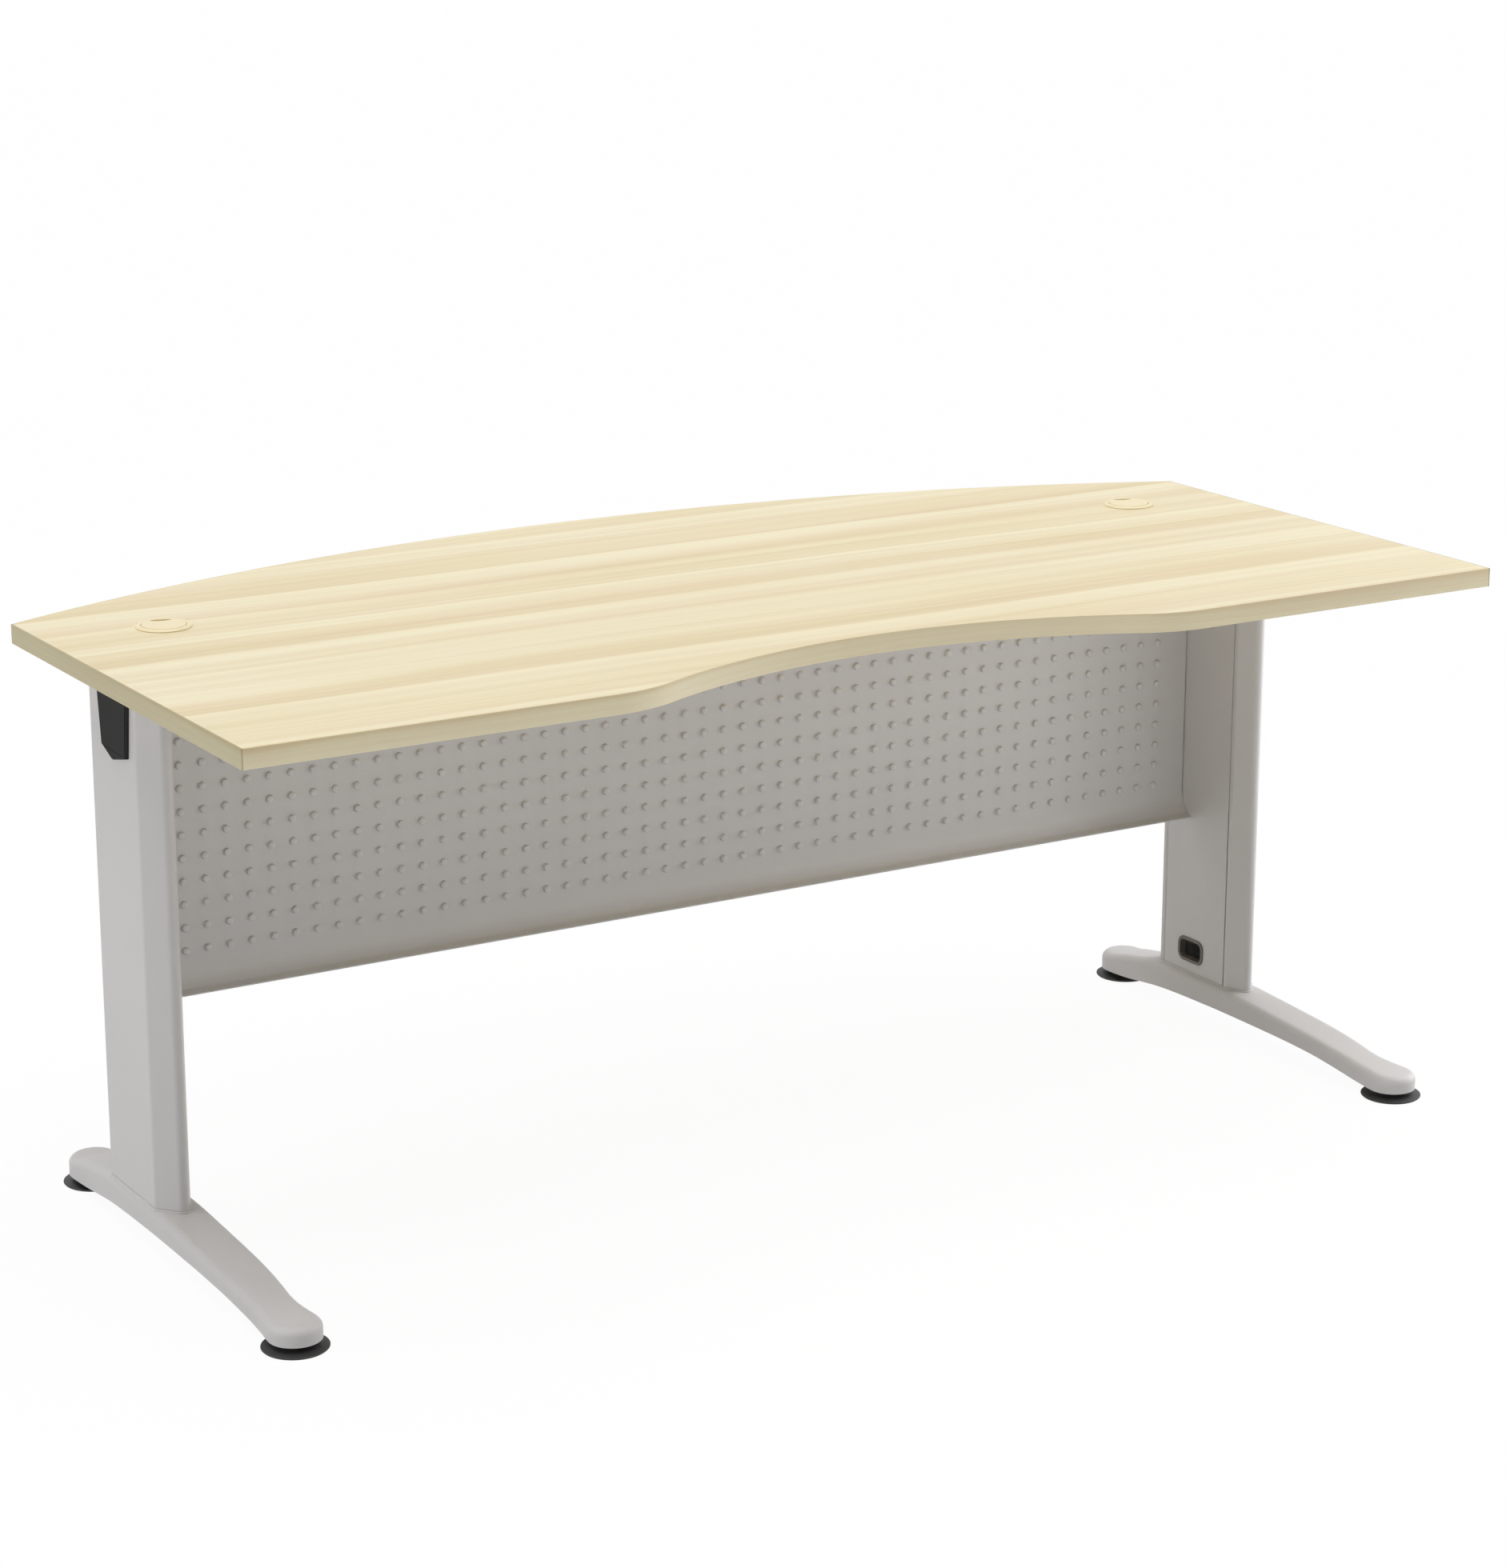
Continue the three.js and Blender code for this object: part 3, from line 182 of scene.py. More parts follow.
world = bpy.data.worlds.new("studio")
scene.world = world
world.use_nodes = True
sky = world.node_tree
sky.nodes.clear()
unseen_sky = add_node(sky, "ShaderNodeBackground", {"Color": WHITE, "Strength": SKY_LIGHT})
seen_sky = add_node(sky, "ShaderNodeBackground", {"Color": WHITE, "Strength": 1.0})
shown_sky = mix_shaders(sky, is_seen(sky), unseen_sky, seen_sky)
add_node(sky, "ShaderNodeOutputWorld", {"Surface": shown_sky.outputs[0]})

for name, (strength, spread, towards) in LAMPS.items():
    lamp_data = bpy.data.lights.new(name, "SUN")
    lamp_data.energy = strength
    lamp_data.angle = math.radians(spread)
    lamp = bpy.data.objects.new(name, lamp_data)
    lamp.rotation_euler = Vector(towards).to_track_quat("Z", "Y").to_euler()
    scene.collection.objects.link(lamp)
print("sky", SKY_LIGHT, "lamps", {name: values[0] for name, values in LAMPS.items()})

# %% Stand the softbox at the right
SOFTBOX_POWER = 9.0
SOFTBOX_SIZE = 0.9
SOFTBOX_PLACE = (1.95, -0.45, 0.62)
SOFTBOX_TARGET = (0.83, -0.25, 0.05)

softbox_data = bpy.data.lights.new("right_softbox", "AREA")
softbox_data.energy = SOFTBOX_POWER
softbox_data.size = SOFTBOX_SIZE
softbox = bpy.data.objects.new("right_softbox", softbox_data)
softbox.location = SOFTBOX_PLACE
aim = softbox.location - Vector(SOFTBOX_TARGET)
softbox.rotation_euler = aim.to_track_quat("Z", "Y").to_euler()
scene.collection.objects.link(softbox)
print("softbox", SOFTBOX_POWER, "watts at", SOFTBOX_PLACE)

# %% Lay the floor
FLOOR_HALF_WIDTH = 90
FLOOR_DROP = 0.0005

floor_material = bpy.data.materials.new("studio_floor")
floor_material.use_nodes = True
paint = floor_material.node_tree
paint.nodes.clear()
plain = add_node(paint, "ShaderNodeBsdfDiffuse", {"Color": (FLOOR_BOUNCE,) * 3 + (1,)})
shadowed = add_node(paint, "ShaderNodeBsdfDiffuse", {"Color": WHITE})
white = add_node(paint, "ShaderNodeEmission", {"Color": WHITE, "Strength": 1.0})
shown = mix_shaders(paint, FLOOR_SHADOW, white, shadowed)
surface = mix_shaders(paint, is_seen(paint), plain, shown)
add_node(paint, "ShaderNodeOutputMaterial", {"Surface": surface.outputs[0]})

floor_bm = bmesh.new()
bmesh.ops.create_grid(floor_bm, x_segments=4, y_segments=4, size=FLOOR_HALF_WIDTH)
bmesh.ops.translate(floor_bm, verts=floor_bm.verts[:], vec=(0, 0, -FLOOR_DROP))
floor_mesh = bpy.data.meshes.new("studio_floor")
floor_bm.to_mesh(floor_mesh)
floor_bm.free()
floor_mesh.materials.append(floor_material)
floor = bpy.data.objects.new("studio_floor", floor_mesh)
scene.collection.objects.link(floor)
print("floor throws back", FLOOR_BOUNCE, "and shows shadow at", FLOOR_SHADOW)

# %% [markdown]
# ## Laminate print
# The worktop is chipboard with a printed laminate that looks like pale ash or maple. The print
# runs along the desk in broad bands: each turns tan right behind a pale line and fades slowly
# towards the next line. Over them lie narrow streaks and short fibres. A colour ramp across the
# print gives the bands, two wide noises bend them a little, and stretched noises add the streaks.

# %% Group: laminate print
# Where the pale lines lie, in metres, and how tan the print is behind each and on it, from 0 to 1
PALE_LINES = (0.015, 0.075, 0.160, 0.245, 0.335, 0.420, 0.520, 0.600, 0.690, 0.765, 0.835)
BAND_TANS = (0.45, 0.60, 0.95, 0.40, 0.60, 1.00, 0.65, 0.85, 0.95, 0.50, 0.70)
BAND_PALES = (0.15, 0.45, 0.00, 0.28, 0.15, 0.22, 0.10, 0.35, 0.00, 0.35, 0.05)
PRINT_ENDS = ((0.0, 0.5), (1.0, 0.35))
PRINT_DEPTH = 0.9
PALE_EDGE = 0.007

print_tree, asked, given = new_group(
    "laminate_print",
    {"Along": 0.0, "Across": 0.0, "Pale": (1.0,) * 4, "Tan": (1.0,) * 4, "Pink": (1.0,) * 4},
    {"Color": "NodeSocketColor", "Roughness": "NodeSocketFloat", "Height": "NodeSocketFloat"},
)

# Each noise has its scales along and across the print, its detail, its roughness, and a shift
# that keeps it apart from the others.
PRINT_NOISES = {
    "slow bend": (1.1, 1.6, 1.0, 0.5, 3.1),
    "quick bend": (5.0, 12.0, 2.0, 0.5, 7.7),
    "streaks": (0.55, 62.0, 2.0, 0.55, 1.3),
    "fine streaks": (1.6, 210.0, 2.0, 0.6, 5.9),
    "patches": (1.4, 9.0, 1.0, 0.5, 9.4),
    "blush": (1.9, 17.0, 2.0, 0.5, 12.6),
    "fibres": (16.0, 900.0, 2.0, 0.6, 15.2),
    "rubbing": (3.0, 4.0, 3.0, 0.6, 20.0),
}
BENDS = {"slow bend": 0.036, "quick bend": 0.007}
MARKS = {"streaks": 1.15, "fine streaks": 0.5, "patches": 0.7}


def print_noise(title, across):
    """One of the noises above, stretched along the print."""
    along_scale, across_scale, detail, roughness, shift = PRINT_NOISES[title]
    vector = add_node(print_tree, "ShaderNodeCombineXYZ", {
        0: calculate(print_tree, "MULTIPLY", asked["Along"], along_scale),
        1: calculate(print_tree, "MULTIPLY", across, across_scale),
        2: shift,
    }).outputs[0]
    return noise(print_tree, vector, 1.0, detail, roughness)


bent = asked["Across"]
for title, reach in BENDS.items():
    bend = swing_about_zero(print_tree, print_noise(title, asked["Across"]))
    bent = calculate(print_tree, "MULTIPLY_ADD", bend, reach, bent)

# %% Bands and streaks of the print
place = calculate(print_tree, "DIVIDE", bent, PRINT_DEPTH)
bands = add_node(print_tree, "ShaderNodeValToRGB", {"Fac": place})
ramp = bands.color_ramp
for stop, (position, shade) in zip(ramp.elements, PRINT_ENDS):
    stop.position = position
    stop.color = (shade,) * 3 + (1,)
for line, tan, pale in zip(PALE_LINES, BAND_TANS, BAND_PALES):
    for position, shade in ((line, pale), (line + PALE_EDGE, tan)):
        ramp.elements.new(position / PRINT_DEPTH).color = (shade,) * 3 + (1,)
print("bands", len(PALE_LINES), "stops in the ramp", len(ramp.elements))

depth = bands.outputs["Color"]
for title, strength in MARKS.items():
    mark = swing_about_zero(print_tree, print_noise(title, bent))
    depth = calculate(print_tree, "MULTIPLY_ADD", mark, strength, depth)
depth = add_node(print_tree, "ShaderNodeClamp", {"Value": depth}).outputs[0]
blush = remap(print_tree, print_noise("blush", bent), 0.46, 0.62, 0.0, 0.8)
dark_print = mix_colours(print_tree, blush, asked["Tan"], asked["Pink"])
printed = mix_colours(print_tree, depth, asked["Pale"], dark_print)

fibres = print_noise("fibres", bent)
fibre_marks = remap(print_tree, fibres, 0.56, 0.74, 0.0, 0.3)
printed = mix_colours(print_tree, fibre_marks, printed, asked["Tan"])
sheen = remap(print_tree, print_noise("rubbing", asked["Across"]), 0.3, 0.7, 0.4, 0.5)
print_tree.links.new(printed, given.inputs["Color"])
print_tree.links.new(sheen, given.inputs["Roughness"])
print_tree.links.new(fibres, given.inputs["Height"])
print("laminate print nodes", len(print_tree.nodes))

# %% [markdown]
# ## Powder coat and moulded grain
# Powder coat melts into a skin like orange peel: dents about a millimetre across, with a slight
# change of shade where the coat is thicker. Moulded plastic has a finer, sharper grain from the
# tool. One group serves both, with the size of the grain, the strength of the shading and the
# sheen as inputs. It also lightens worn edges, which it finds with the surface's pointiness.

# %% Group: surface grain
grain_tree, asked, given = new_group(
    "surface_grain",
    {"Vector": None, "Base": (1.0,) * 4, "Grain Size": 0.001, "Shade": 0.03, "Wear": 0.1,
     "Sheen Low": 0.5, "Sheen High": 0.6},
    {"Color": "NodeSocketColor", "Roughness": "NodeSocketFloat", "Height": "NodeSocketFloat"},
)
CLOUD_SCALE = 4.5
SPECKLE_SCALE = 260.0
SPECKLE_SHARE = 0.6
WORN_EDGE = (0.75, 0.74, 0.72, 1)

grain_scale = calculate(grain_tree, "DIVIDE", 1.0, asked["Grain Size"])
grain = noise(grain_tree, asked["Vector"], grain_scale, 2.0, 0.55)
cloud = noise(grain_tree, asked["Vector"], CLOUD_SCALE, 3.0, 0.6)
speckle = noise(grain_tree, asked["Vector"], SPECKLE_SCALE, 1.0, 0.5)
speckle = swing_about_zero(grain_tree, speckle)
shade = swing_about_zero(grain_tree, cloud)
shade = calculate(grain_tree, "MULTIPLY_ADD", speckle, SPECKLE_SHARE, shade)
shade = calculate(grain_tree, "MULTIPLY_ADD", shade, asked["Shade"], 1.0)
shaded = add_node(grain_tree, "ShaderNodeVectorMath", {0: asked["Base"], 3: shade},
                  operation="SCALE").outputs[0]
point = add_node(grain_tree, "ShaderNodeNewGeometry").outputs["Pointiness"]
edge = remap(grain_tree, point, 0.52, 0.62, 0.0, asked["Wear"])
worn = mix_colours(grain_tree, edge, shaded, WORN_EDGE)
sheen = remap(grain_tree, cloud, 0.3, 0.7, asked["Sheen Low"], asked["Sheen High"])
grain_tree.links.new(worn, given.inputs["Color"])
grain_tree.links.new(sheen, given.inputs["Roughness"])
grain_tree.links.new(grain, given.inputs["Height"])
print("surface grain nodes", len(grain_tree.nodes))


# %% [markdown]
# ## Materials
# Each finish of the desk is one material. The shader stays in the material, and the groups feed
# only its colour, roughness and bump.

# %% Helpers for materials
def new_material(name, metallic=0.0, specular=0.5):
    material = bpy.data.materials.new(name)
    material.use_nodes = True
    tree = material.node_tree
    shader = tree.nodes["Principled BSDF"]
    shader.inputs["Metallic"].default_value = metallic
    shader.inputs["Specular IOR Level"].default_value = specular
    place = add_node(tree, "ShaderNodeTexCoord").outputs["Object"]
    return material, tree, shader, place


def use_group(tree, shader, group, inputs, bump, distance):
    """Places a group in a material and joins it to the shader, with its height as a bump."""
    made = add_node(tree, "ShaderNodeGroup", inputs, node_tree=group)
    relief = add_node(tree, "ShaderNodeBump", {
        "Height": made.outputs["Height"], "Strength": bump, "Distance": distance,
    })
    tree.links.new(made.outputs["Color"], shader.inputs["Base Color"])
    tree.links.new(made.outputs["Roughness"], shader.inputs["Roughness"])
    tree.links.new(relief.outputs[0], shader.inputs["Normal"])


PRINT_BUMP = 0.15
PRINT_RELIEF = 0.00015
GRAIN_RELIEF = 0.25


def laminate(name, along, across, start, pale, tan, pink):
    """A laminate whose print runs along one axis; start is where its bands begin across it."""
    material, tree, shader, place = new_material(name, specular=0.35)
    axes = add_node(tree, "ShaderNodeSeparateXYZ", {0: place}).outputs
    use_group(tree, shader, print_tree, {
        "Along": axes[along], "Across": calculate(tree, "SUBTRACT", axes[across], start),
        "Pale": pale, "Tan": tan, "Pink": pink,
    }, PRINT_BUMP, PRINT_RELIEF)
    return material


def grained(name, colour, size, bump, shade, wear=0.1, sheen=(0.5, 0.6), metallic=0.0,
            specular=0.5):
    """A coated or moulded finish; size is that of its grain, in metres."""
    material, tree, shader, place = new_material(name, metallic, specular)
    use_group(tree, shader, grain_tree, {
        "Vector": place, "Base": colour, "Grain Size": size, "Shade": shade, "Wear": wear,
        "Sheen Low": sheen[0], "Sheen High": sheen[1],
    }, bump, size * GRAIN_RELIEF)
    return material


# %% Laminates of the desk
PALE = screen_colour(249, 238, 204)
TAN = screen_colour(228, 209, 164)
PINK = screen_colour(232, 210, 172)
# The end bands carry the same print in darker colours: painted shade for the worktop's ends.
SHADED_END_PALE = screen_colour(204, 194, 158)
SHADED_END_TAN = screen_colour(185, 170, 128)
TOP_PRINT_START = -0.45
EDGE_PRINT_START = 0.325

worktop_print = laminate("worktop_print", "X", "Y", TOP_PRINT_START, PALE, TAN, PINK)
front_edge_print = laminate("front_edge_print", "X", "Z", EDGE_PRINT_START, PALE, TAN, PINK)
# Painted shade: the end bands use the darkened copy of the print.
shaded_end_edge_print = laminate("shaded_end_edge_print", "Y", "Z", EDGE_PRINT_START, SHADED_END_PALE, SHADED_END_TAN, SHADED_END_TAN)

# %% Coats and plastics of the desk
grey_powder = grained("grey_powder_coat", screen_colour(212, 210, 210), size=0.0011, bump=0.25,
                      shade=0.035, wear=0.15, sheen=(0.42, 0.52))
black_powder = grained("black_powder_coat", screen_colour(44, 44, 44), size=0.0011, bump=0.3,
                       shade=0.1, wear=0.05)
cream_plastic = grained("cream_plastic", screen_colour(246, 231, 190), size=0.0006, bump=0.12,
                        shade=0.02, sheen=(0.35, 0.42))
cap_plastic = grained("cap_plastic", screen_colour(38, 38, 38), size=0.0007, bump=0.3,
                      shade=0.08, wear=0.03, sheen=(0.6, 0.7), specular=0.12)
glide_plastic = grained("glide_plastic", screen_colour(38, 38, 38), size=0.0009, bump=0.3,
                        shade=0.1, wear=0.03)
outlet_plastic = grained("outlet_plastic", screen_colour(104, 98, 92), size=0.0007, bump=0.25,
                         shade=0.05, wear=0.06)
zinc_plate = grained("zinc_plate", screen_colour(190, 192, 196), size=0.0004, bump=0.15,
                     shade=0.2, wear=0.3, sheen=(0.25, 0.45), metallic=1.0)
print("materials", len(bpy.data.materials))


# %% [markdown]
# ## Drawing lines and arcs
# Most of the desk is bent sheet or cut board, so most pieces begin as a drawn outline. A line is
# a vertex extruded to its next place, and a rounding is a vertex spun about the centre of the
# bend. Both leave a chain of edges that can be pulled out into a wall.

# %% Helpers that draw outlines
def vertices_in(geometry):
    return [part for part in geometry if isinstance(part, bmesh.types.BMVert)]


def edges_in(geometry):
    return [part for part in geometry if isinstance(part, bmesh.types.BMEdge)]


def draw_line(bm, tip, to):
    made = bmesh.ops.extrude_vert_indiv(bm, verts=[tip])["verts"][0]
    made.co = Vector(to)
    return made


def draw_arc(bm, tip, centre, degrees, steps, axis=(0, 0, 1)):
    made = bmesh.ops.spin(bm, geom=[tip], cent=centre, axis=axis, angle=math.radians(degrees),
                          steps=steps)
    return vertices_in(made["geom_last"])[0]


def trace(bm, corners, radius=0.0, steps=6, closed=False):
    """Draws a line through corners, rounds each that has a radius, and returns the edges."""
    known = set(bm.edges)
    corners = [Vector(corner) for corner in corners]
    radii = radius if isinstance(radius, (list, tuple)) else [radius] * len(corners)
    first = tip = None
    for i, corner in enumerate(corners):
        rounded = radii[i] > 0 and (closed or 0 < i < len(corners) - 1)
        start = corner
        if rounded:
            back = (corners[i - 1] - corner).normalized()
            ahead = (corners[(i + 1) % len(corners)] - corner).normalized()
            half = back.angle(ahead) / 2
            start = corner + back * (radii[i] / math.tan(half))
            end = corner + ahead * (radii[i] / math.tan(half))
            centre = corner + (back + ahead).normalized() * (radii[i] / math.sin(half))
        if tip is None:
            tip = first = bm.verts.new(start)
        else:
            tip = draw_line(bm, tip, start)
        if rounded:
            axis = (start - centre).cross(end - centre)
            tip = draw_arc(bm, tip, centre, 180 - math.degrees(2 * half), steps, axis)
    if closed:
        bm.edges.new((tip, first))
    return [edge for edge in bm.edges if edge not in known]


# %% [markdown]
# ## Walls, lofts and lathe work
# A chain of edges becomes a wall when it is pulled out, and a bend when it is swung round an
# axis. Two loops become a skin when they are bridged. A profile spun all the way round an axis
# makes a turned piece, such as a glide or a bolt head.

# %% Helpers that make surfaces
DOUBLES = 0.00001


def chain_vertices(edges):
    return list({vertex for edge in edges for vertex in edge.verts})


def pull(bm, edges, along):
    """Pulls edges out into a wall and returns its far edges."""
    made = bmesh.ops.extrude_edge_only(bm, edges=edges)["geom"]
    bmesh.ops.translate(bm, verts=vertices_in(made), vec=along)
    return edges_in(made)


def swing(bm, edges, centre, degrees, steps, axis=(0, 0, 1)):
    """Swings edges round an axis into a bend and returns its far edges."""
    made = bmesh.ops.spin(bm, geom=chain_vertices(edges) + edges, cent=centre, axis=axis,
                          angle=math.radians(degrees), steps=steps)
    return edges_in(made["geom_last"])


def skin(bm, loops, closed=False):
    """Bridges each loop to the next."""
    following = loops[1:] + (loops[:1] if closed else [])
    for near, far in zip(loops, following):
        bmesh.ops.bridge_loops(bm, edges=near + far)


def cap(bm, edges):
    bmesh.ops.edgeloop_fill(bm, edges=edges)


def everything(bm):
    return bm.verts[:] + bm.edges[:] + bm.faces[:]


def settle_faces(bm):
    """Merges doubles and turns the faces of a closed piece outwards."""
    bmesh.ops.remove_doubles(bm, verts=bm.verts[:], dist=DOUBLES)
    bmesh.ops.recalc_face_normals(bm, faces=bm.faces[:])


def thicken(bm, thickness, outwards):
    """Gives an open sheet its thickness behind it, once its broadest face looks outwards."""
    broadest = max(bm.faces, key=lambda face: face.calc_area())
    if broadest.normal.dot(Vector(outwards)) < 0:
        bmesh.ops.reverse_faces(bm, faces=bm.faces[:])
    bmesh.ops.solidify(bm, geom=bm.faces[:], thickness=thickness)


def soften(bm, offset, segments=2, sharper_than=30, edges=None):
    """Rounds the sharp edges."""
    edges = bm.edges[:] if edges is None else edges
    sharp = [edge for edge in edges if edge.is_manifold
             and math.degrees(edge.calc_face_angle(0)) > sharper_than]
    bmesh.ops.bevel(bm, geom=sharp, offset=offset, segments=segments, profile=0.5,
                    affect="EDGES", clamp_overlap=True, material=-1)


def turn(bm, profile, radius=0.0, steps=32, place=Matrix(), closed=False, rounding=3):
    """Spins a profile of (radius, height) points about Z, then puts it in its place."""
    known = set(bm.verts)
    points = [(across, 0, up) for across, up in profile]
    edges = trace(bm, points, radius, rounding, closed)
    bmesh.ops.spin(bm, geom=chain_vertices(edges) + edges, cent=(0, 0, 0), axis=(0, 0, 1),
                   angle=math.radians(360), steps=steps, use_merge=True)
    made = [vertex for vertex in bm.verts if vertex not in known]
    bmesh.ops.transform(bm, matrix=place, verts=made)


# %% [markdown]
# ## Finishing a piece
# Every piece ends the same way. Its doubles are merged and its faces are turned outwards. The
# panel leaves that step out here, because it takes it before it gets its thickness. Then the
# piece is shaded smooth apart from its sharp edges and tied to the body that it moves with, and
# the imported nodes that it stands for are hidden. Weighted normals let a broad flat face keep its
# own direction, so only the narrow roundings beside it carry the change of shade. The printed
# numbers show how far the piece's box is from that of its nodes.

# %% Helper that finishes a piece
def finish_piece(name, bm, material, body, nodes, crease=35, settle=True):
    if settle:
        settle_faces(bm)
    holes = sum(not edge.is_manifold for edge in bm.edges)
    mesh = bpy.data.meshes.new(name)
    bm.to_mesh(mesh)
    bm.free()
    mesh.materials.append(material)
    mesh.shade_smooth()
    mesh.set_sharp_from_angle(angle=math.radians(crease))
    piece = bpy.data.objects.new(name, mesh)
    scene.collection.objects.link(piece)
    weighting = piece.modifiers.new("weighted_normals", "WEIGHTED_NORMAL")
    weighting.keep_sharp = True
    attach(piece, body)
    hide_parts(*nodes)
    boxes = [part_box(node) for node in nodes]
    gaps = []
    for axis in range(3):
        places = [vertex.co[axis] for vertex in mesh.vertices]
        gaps.append(round(1000 * (min(places) - min(low[axis] for low, high in boxes)), 2))
        gaps.append(round(1000 * (max(places) - max(high[axis] for low, high in boxes)), 2))
    print(name, "faces", len(mesh.polygons), "open edges", holes, "off its nodes, mm", gaps)


# %% [markdown]
# ## Worktop board
# The board's front edge follows a wave: straight, a rounded corner, a long hollow arc, a second
# corner, and straight again. The rear edge is one large arc. The outline is drawn flat, the two
# grommet holes are circles, and a triangle fill closes the sheet round the holes.

# %% Draw the worktop board
TOP_LENGTH = 1.8
TOP_END_DEPTH = 0.7
TOP_HEIGHT = 0.75
BOARD_THICKNESS = 0.025
BAND = 0.002
GLUE_LINE = 0.00005
FRONT = -0.45
REAR = 0.45
WAVE_DEPTH = 0.1
WAVE_RADIUS = 0.77
WAVE_CORNER_RADIUS = 0.18
GROMMET_PLACES = {"left": (-0.742, 0.14), "right": (0.742, 0.14)}
GROMMET_HOLE = 0.03

WAVE_Y = FRONT + WAVE_DEPTH - WAVE_RADIUS
CORNER_Y = FRONT + WAVE_CORNER_RADIUS
CORNER_X = math.sqrt((WAVE_RADIUS + WAVE_CORNER_RADIUS) ** 2 - (CORNER_Y - WAVE_Y) ** 2)
BEND = 90 - math.degrees(math.atan2(CORNER_Y - WAVE_Y, CORNER_X))
REAR_SAG = REAR - FRONT - TOP_END_DEPTH
REAR_RADIUS = ((TOP_LENGTH / 2) ** 2 + REAR_SAG ** 2) / (2 * REAR_SAG)
REAR_Y = REAR - REAR_RADIUS
UNDERSIDE = TOP_HEIGHT - BOARD_THICKNESS

# The wave's three arcs: centre, degrees and steps
WAVE_ARCS = (((-CORNER_X, CORNER_Y, 0), BEND, 12), ((0, WAVE_Y, 0), -2 * BEND, 56),
             ((CORNER_X, CORNER_Y, 0), BEND, 12))
REAR_STEPS = 96

bm = bmesh.new()
inset = BAND + GLUE_LINE
half = TOP_LENGTH / 2 - inset
first = bm.verts.new((-half, FRONT + inset, TOP_HEIGHT))
tip = draw_line(bm, first, (-CORNER_X, FRONT + inset, TOP_HEIGHT))
for centre, degrees, steps in WAVE_ARCS:
    tip = draw_arc(bm, tip, centre, degrees, steps)
tip = draw_line(bm, tip, (half, FRONT + inset, TOP_HEIGHT))
lean = math.asin(half / (REAR_RADIUS - inset))
tip = draw_line(bm, tip, (half, REAR_Y + (REAR_RADIUS - inset) * math.cos(lean), TOP_HEIGHT))
tip = draw_arc(bm, tip, (0, REAR_Y, 0), 2 * math.degrees(lean), REAR_STEPS)
bm.edges.new((tip, first))
for x, y in GROMMET_PLACES.values():
    bmesh.ops.create_circle(bm, segments=48, radius=GROMMET_HOLE,
                            matrix=Matrix.Translation((x, y, TOP_HEIGHT)))
bmesh.ops.triangle_fill(bm, edges=bm.edges[:], use_beauty=True, normal=(0, 0, 1))
thicken(bm, BOARD_THICKNESS, (0, 0, 1))
finish_piece("worktop_board", bm, worktop_print, "frame", ["top_board"])

# %% [markdown]
# ## Edge bands
# Each edge of the board is closed by a 2 mm strip with a print of its own, glued on and scraped
# to a small rounding; the end strips get that print darkened, as painted shade. The strip's section
# is drawn and swept: pulled along the straights, swung round the arcs. The rear strip is swept a
# little too far and then cut square at both ends.

# %% Sweep the front band
BAND_ROUNDING = 0.0009


def band_section(bm, outer, inner):
    """The strip's section between two places on the plan, rounded at the outer one."""
    corners = [(*outer, UNDERSIDE), (*inner, UNDERSIDE), (*inner, TOP_HEIGHT), (*outer, TOP_HEIGHT)]
    return trace(bm, corners, [BAND_ROUNDING, 0, 0, BAND_ROUNDING], 3, closed=True)


band_half = TOP_LENGTH / 2 - BAND
straight = (band_half - CORNER_X, 0, 0)
bm = bmesh.new()
section = band_section(bm, (-band_half, FRONT), (-band_half, FRONT + BAND))
cap(bm, section)
section = pull(bm, section, straight)
for centre, degrees, steps in WAVE_ARCS:
    section = swing(bm, section, centre, degrees, steps)
section = pull(bm, section, straight)
cap(bm, section)
finish_piece("front_band", bm, front_edge_print, "frame", ["front_edge_band"])

# %% Sweep the rear band
SPARE_DEGREES = 0.3

bm = bmesh.new()
section = band_section(bm, (0, REAR), (0, REAR - BAND))
sweep = math.degrees(math.asin(band_half / REAR_RADIUS)) + SPARE_DEGREES
bmesh.ops.rotate(bm, cent=(0, REAR_Y, 0), verts=bm.verts[:],
                 matrix=Matrix.Rotation(math.radians(-sweep), 3, "Z"))
swing(bm, section, (0, REAR_Y, 0), 2 * sweep, REAR_STEPS)
for side in (-1, 1):
    cut = bmesh.ops.bisect_plane(bm, geom=everything(bm), plane_co=(side * band_half, 0, 0),
                                 plane_no=(side, 0, 0), clear_outer=True)
    cap(bm, edges_in(cut["geom_cut"]))
finish_piece("rear_band", bm, front_edge_print, "frame", ["rear_edge_band"])

# %% Pull the end bands
SIDES = {"left": -1, "right": 1}


def height_of(edge):
    return abs(edge.verts[0].co.z - edge.verts[1].co.z)


for name, side in SIDES.items():
    bm = bmesh.new()
    outer, inner = side * TOP_LENGTH / 2, side * (TOP_LENGTH / 2 - BAND)
    section = band_section(bm, (outer, FRONT), (inner, FRONT))
    cap(bm, section)
    cap(bm, pull(bm, section, (0, TOP_END_DEPTH, 0)))
    upright_edges = [edge for edge in bm.edges if height_of(edge) > BOARD_THICKNESS / 2
                     and all(abs(vertex.co.x - outer) < DOUBLES for vertex in edge.verts)]
    soften(bm, BAND_ROUNDING, 3, edges=upright_edges)
    # The end band's print is darkened, as painted shade.
    finish_piece(f"{name}_band", bm, shaded_end_edge_print, "frame", [f"{name}_edge_band"])

# %% [markdown]
# ## Cable grommets
# Each grommet is a moulded sleeve, whose flange lies on the board, and a lid that turns on a
# ledge inside it. The sleeve is a turned profile. The lid's outline is one circle bitten by a
# second, which leaves the crescent slot for the cables, so it is drawn with two arcs.

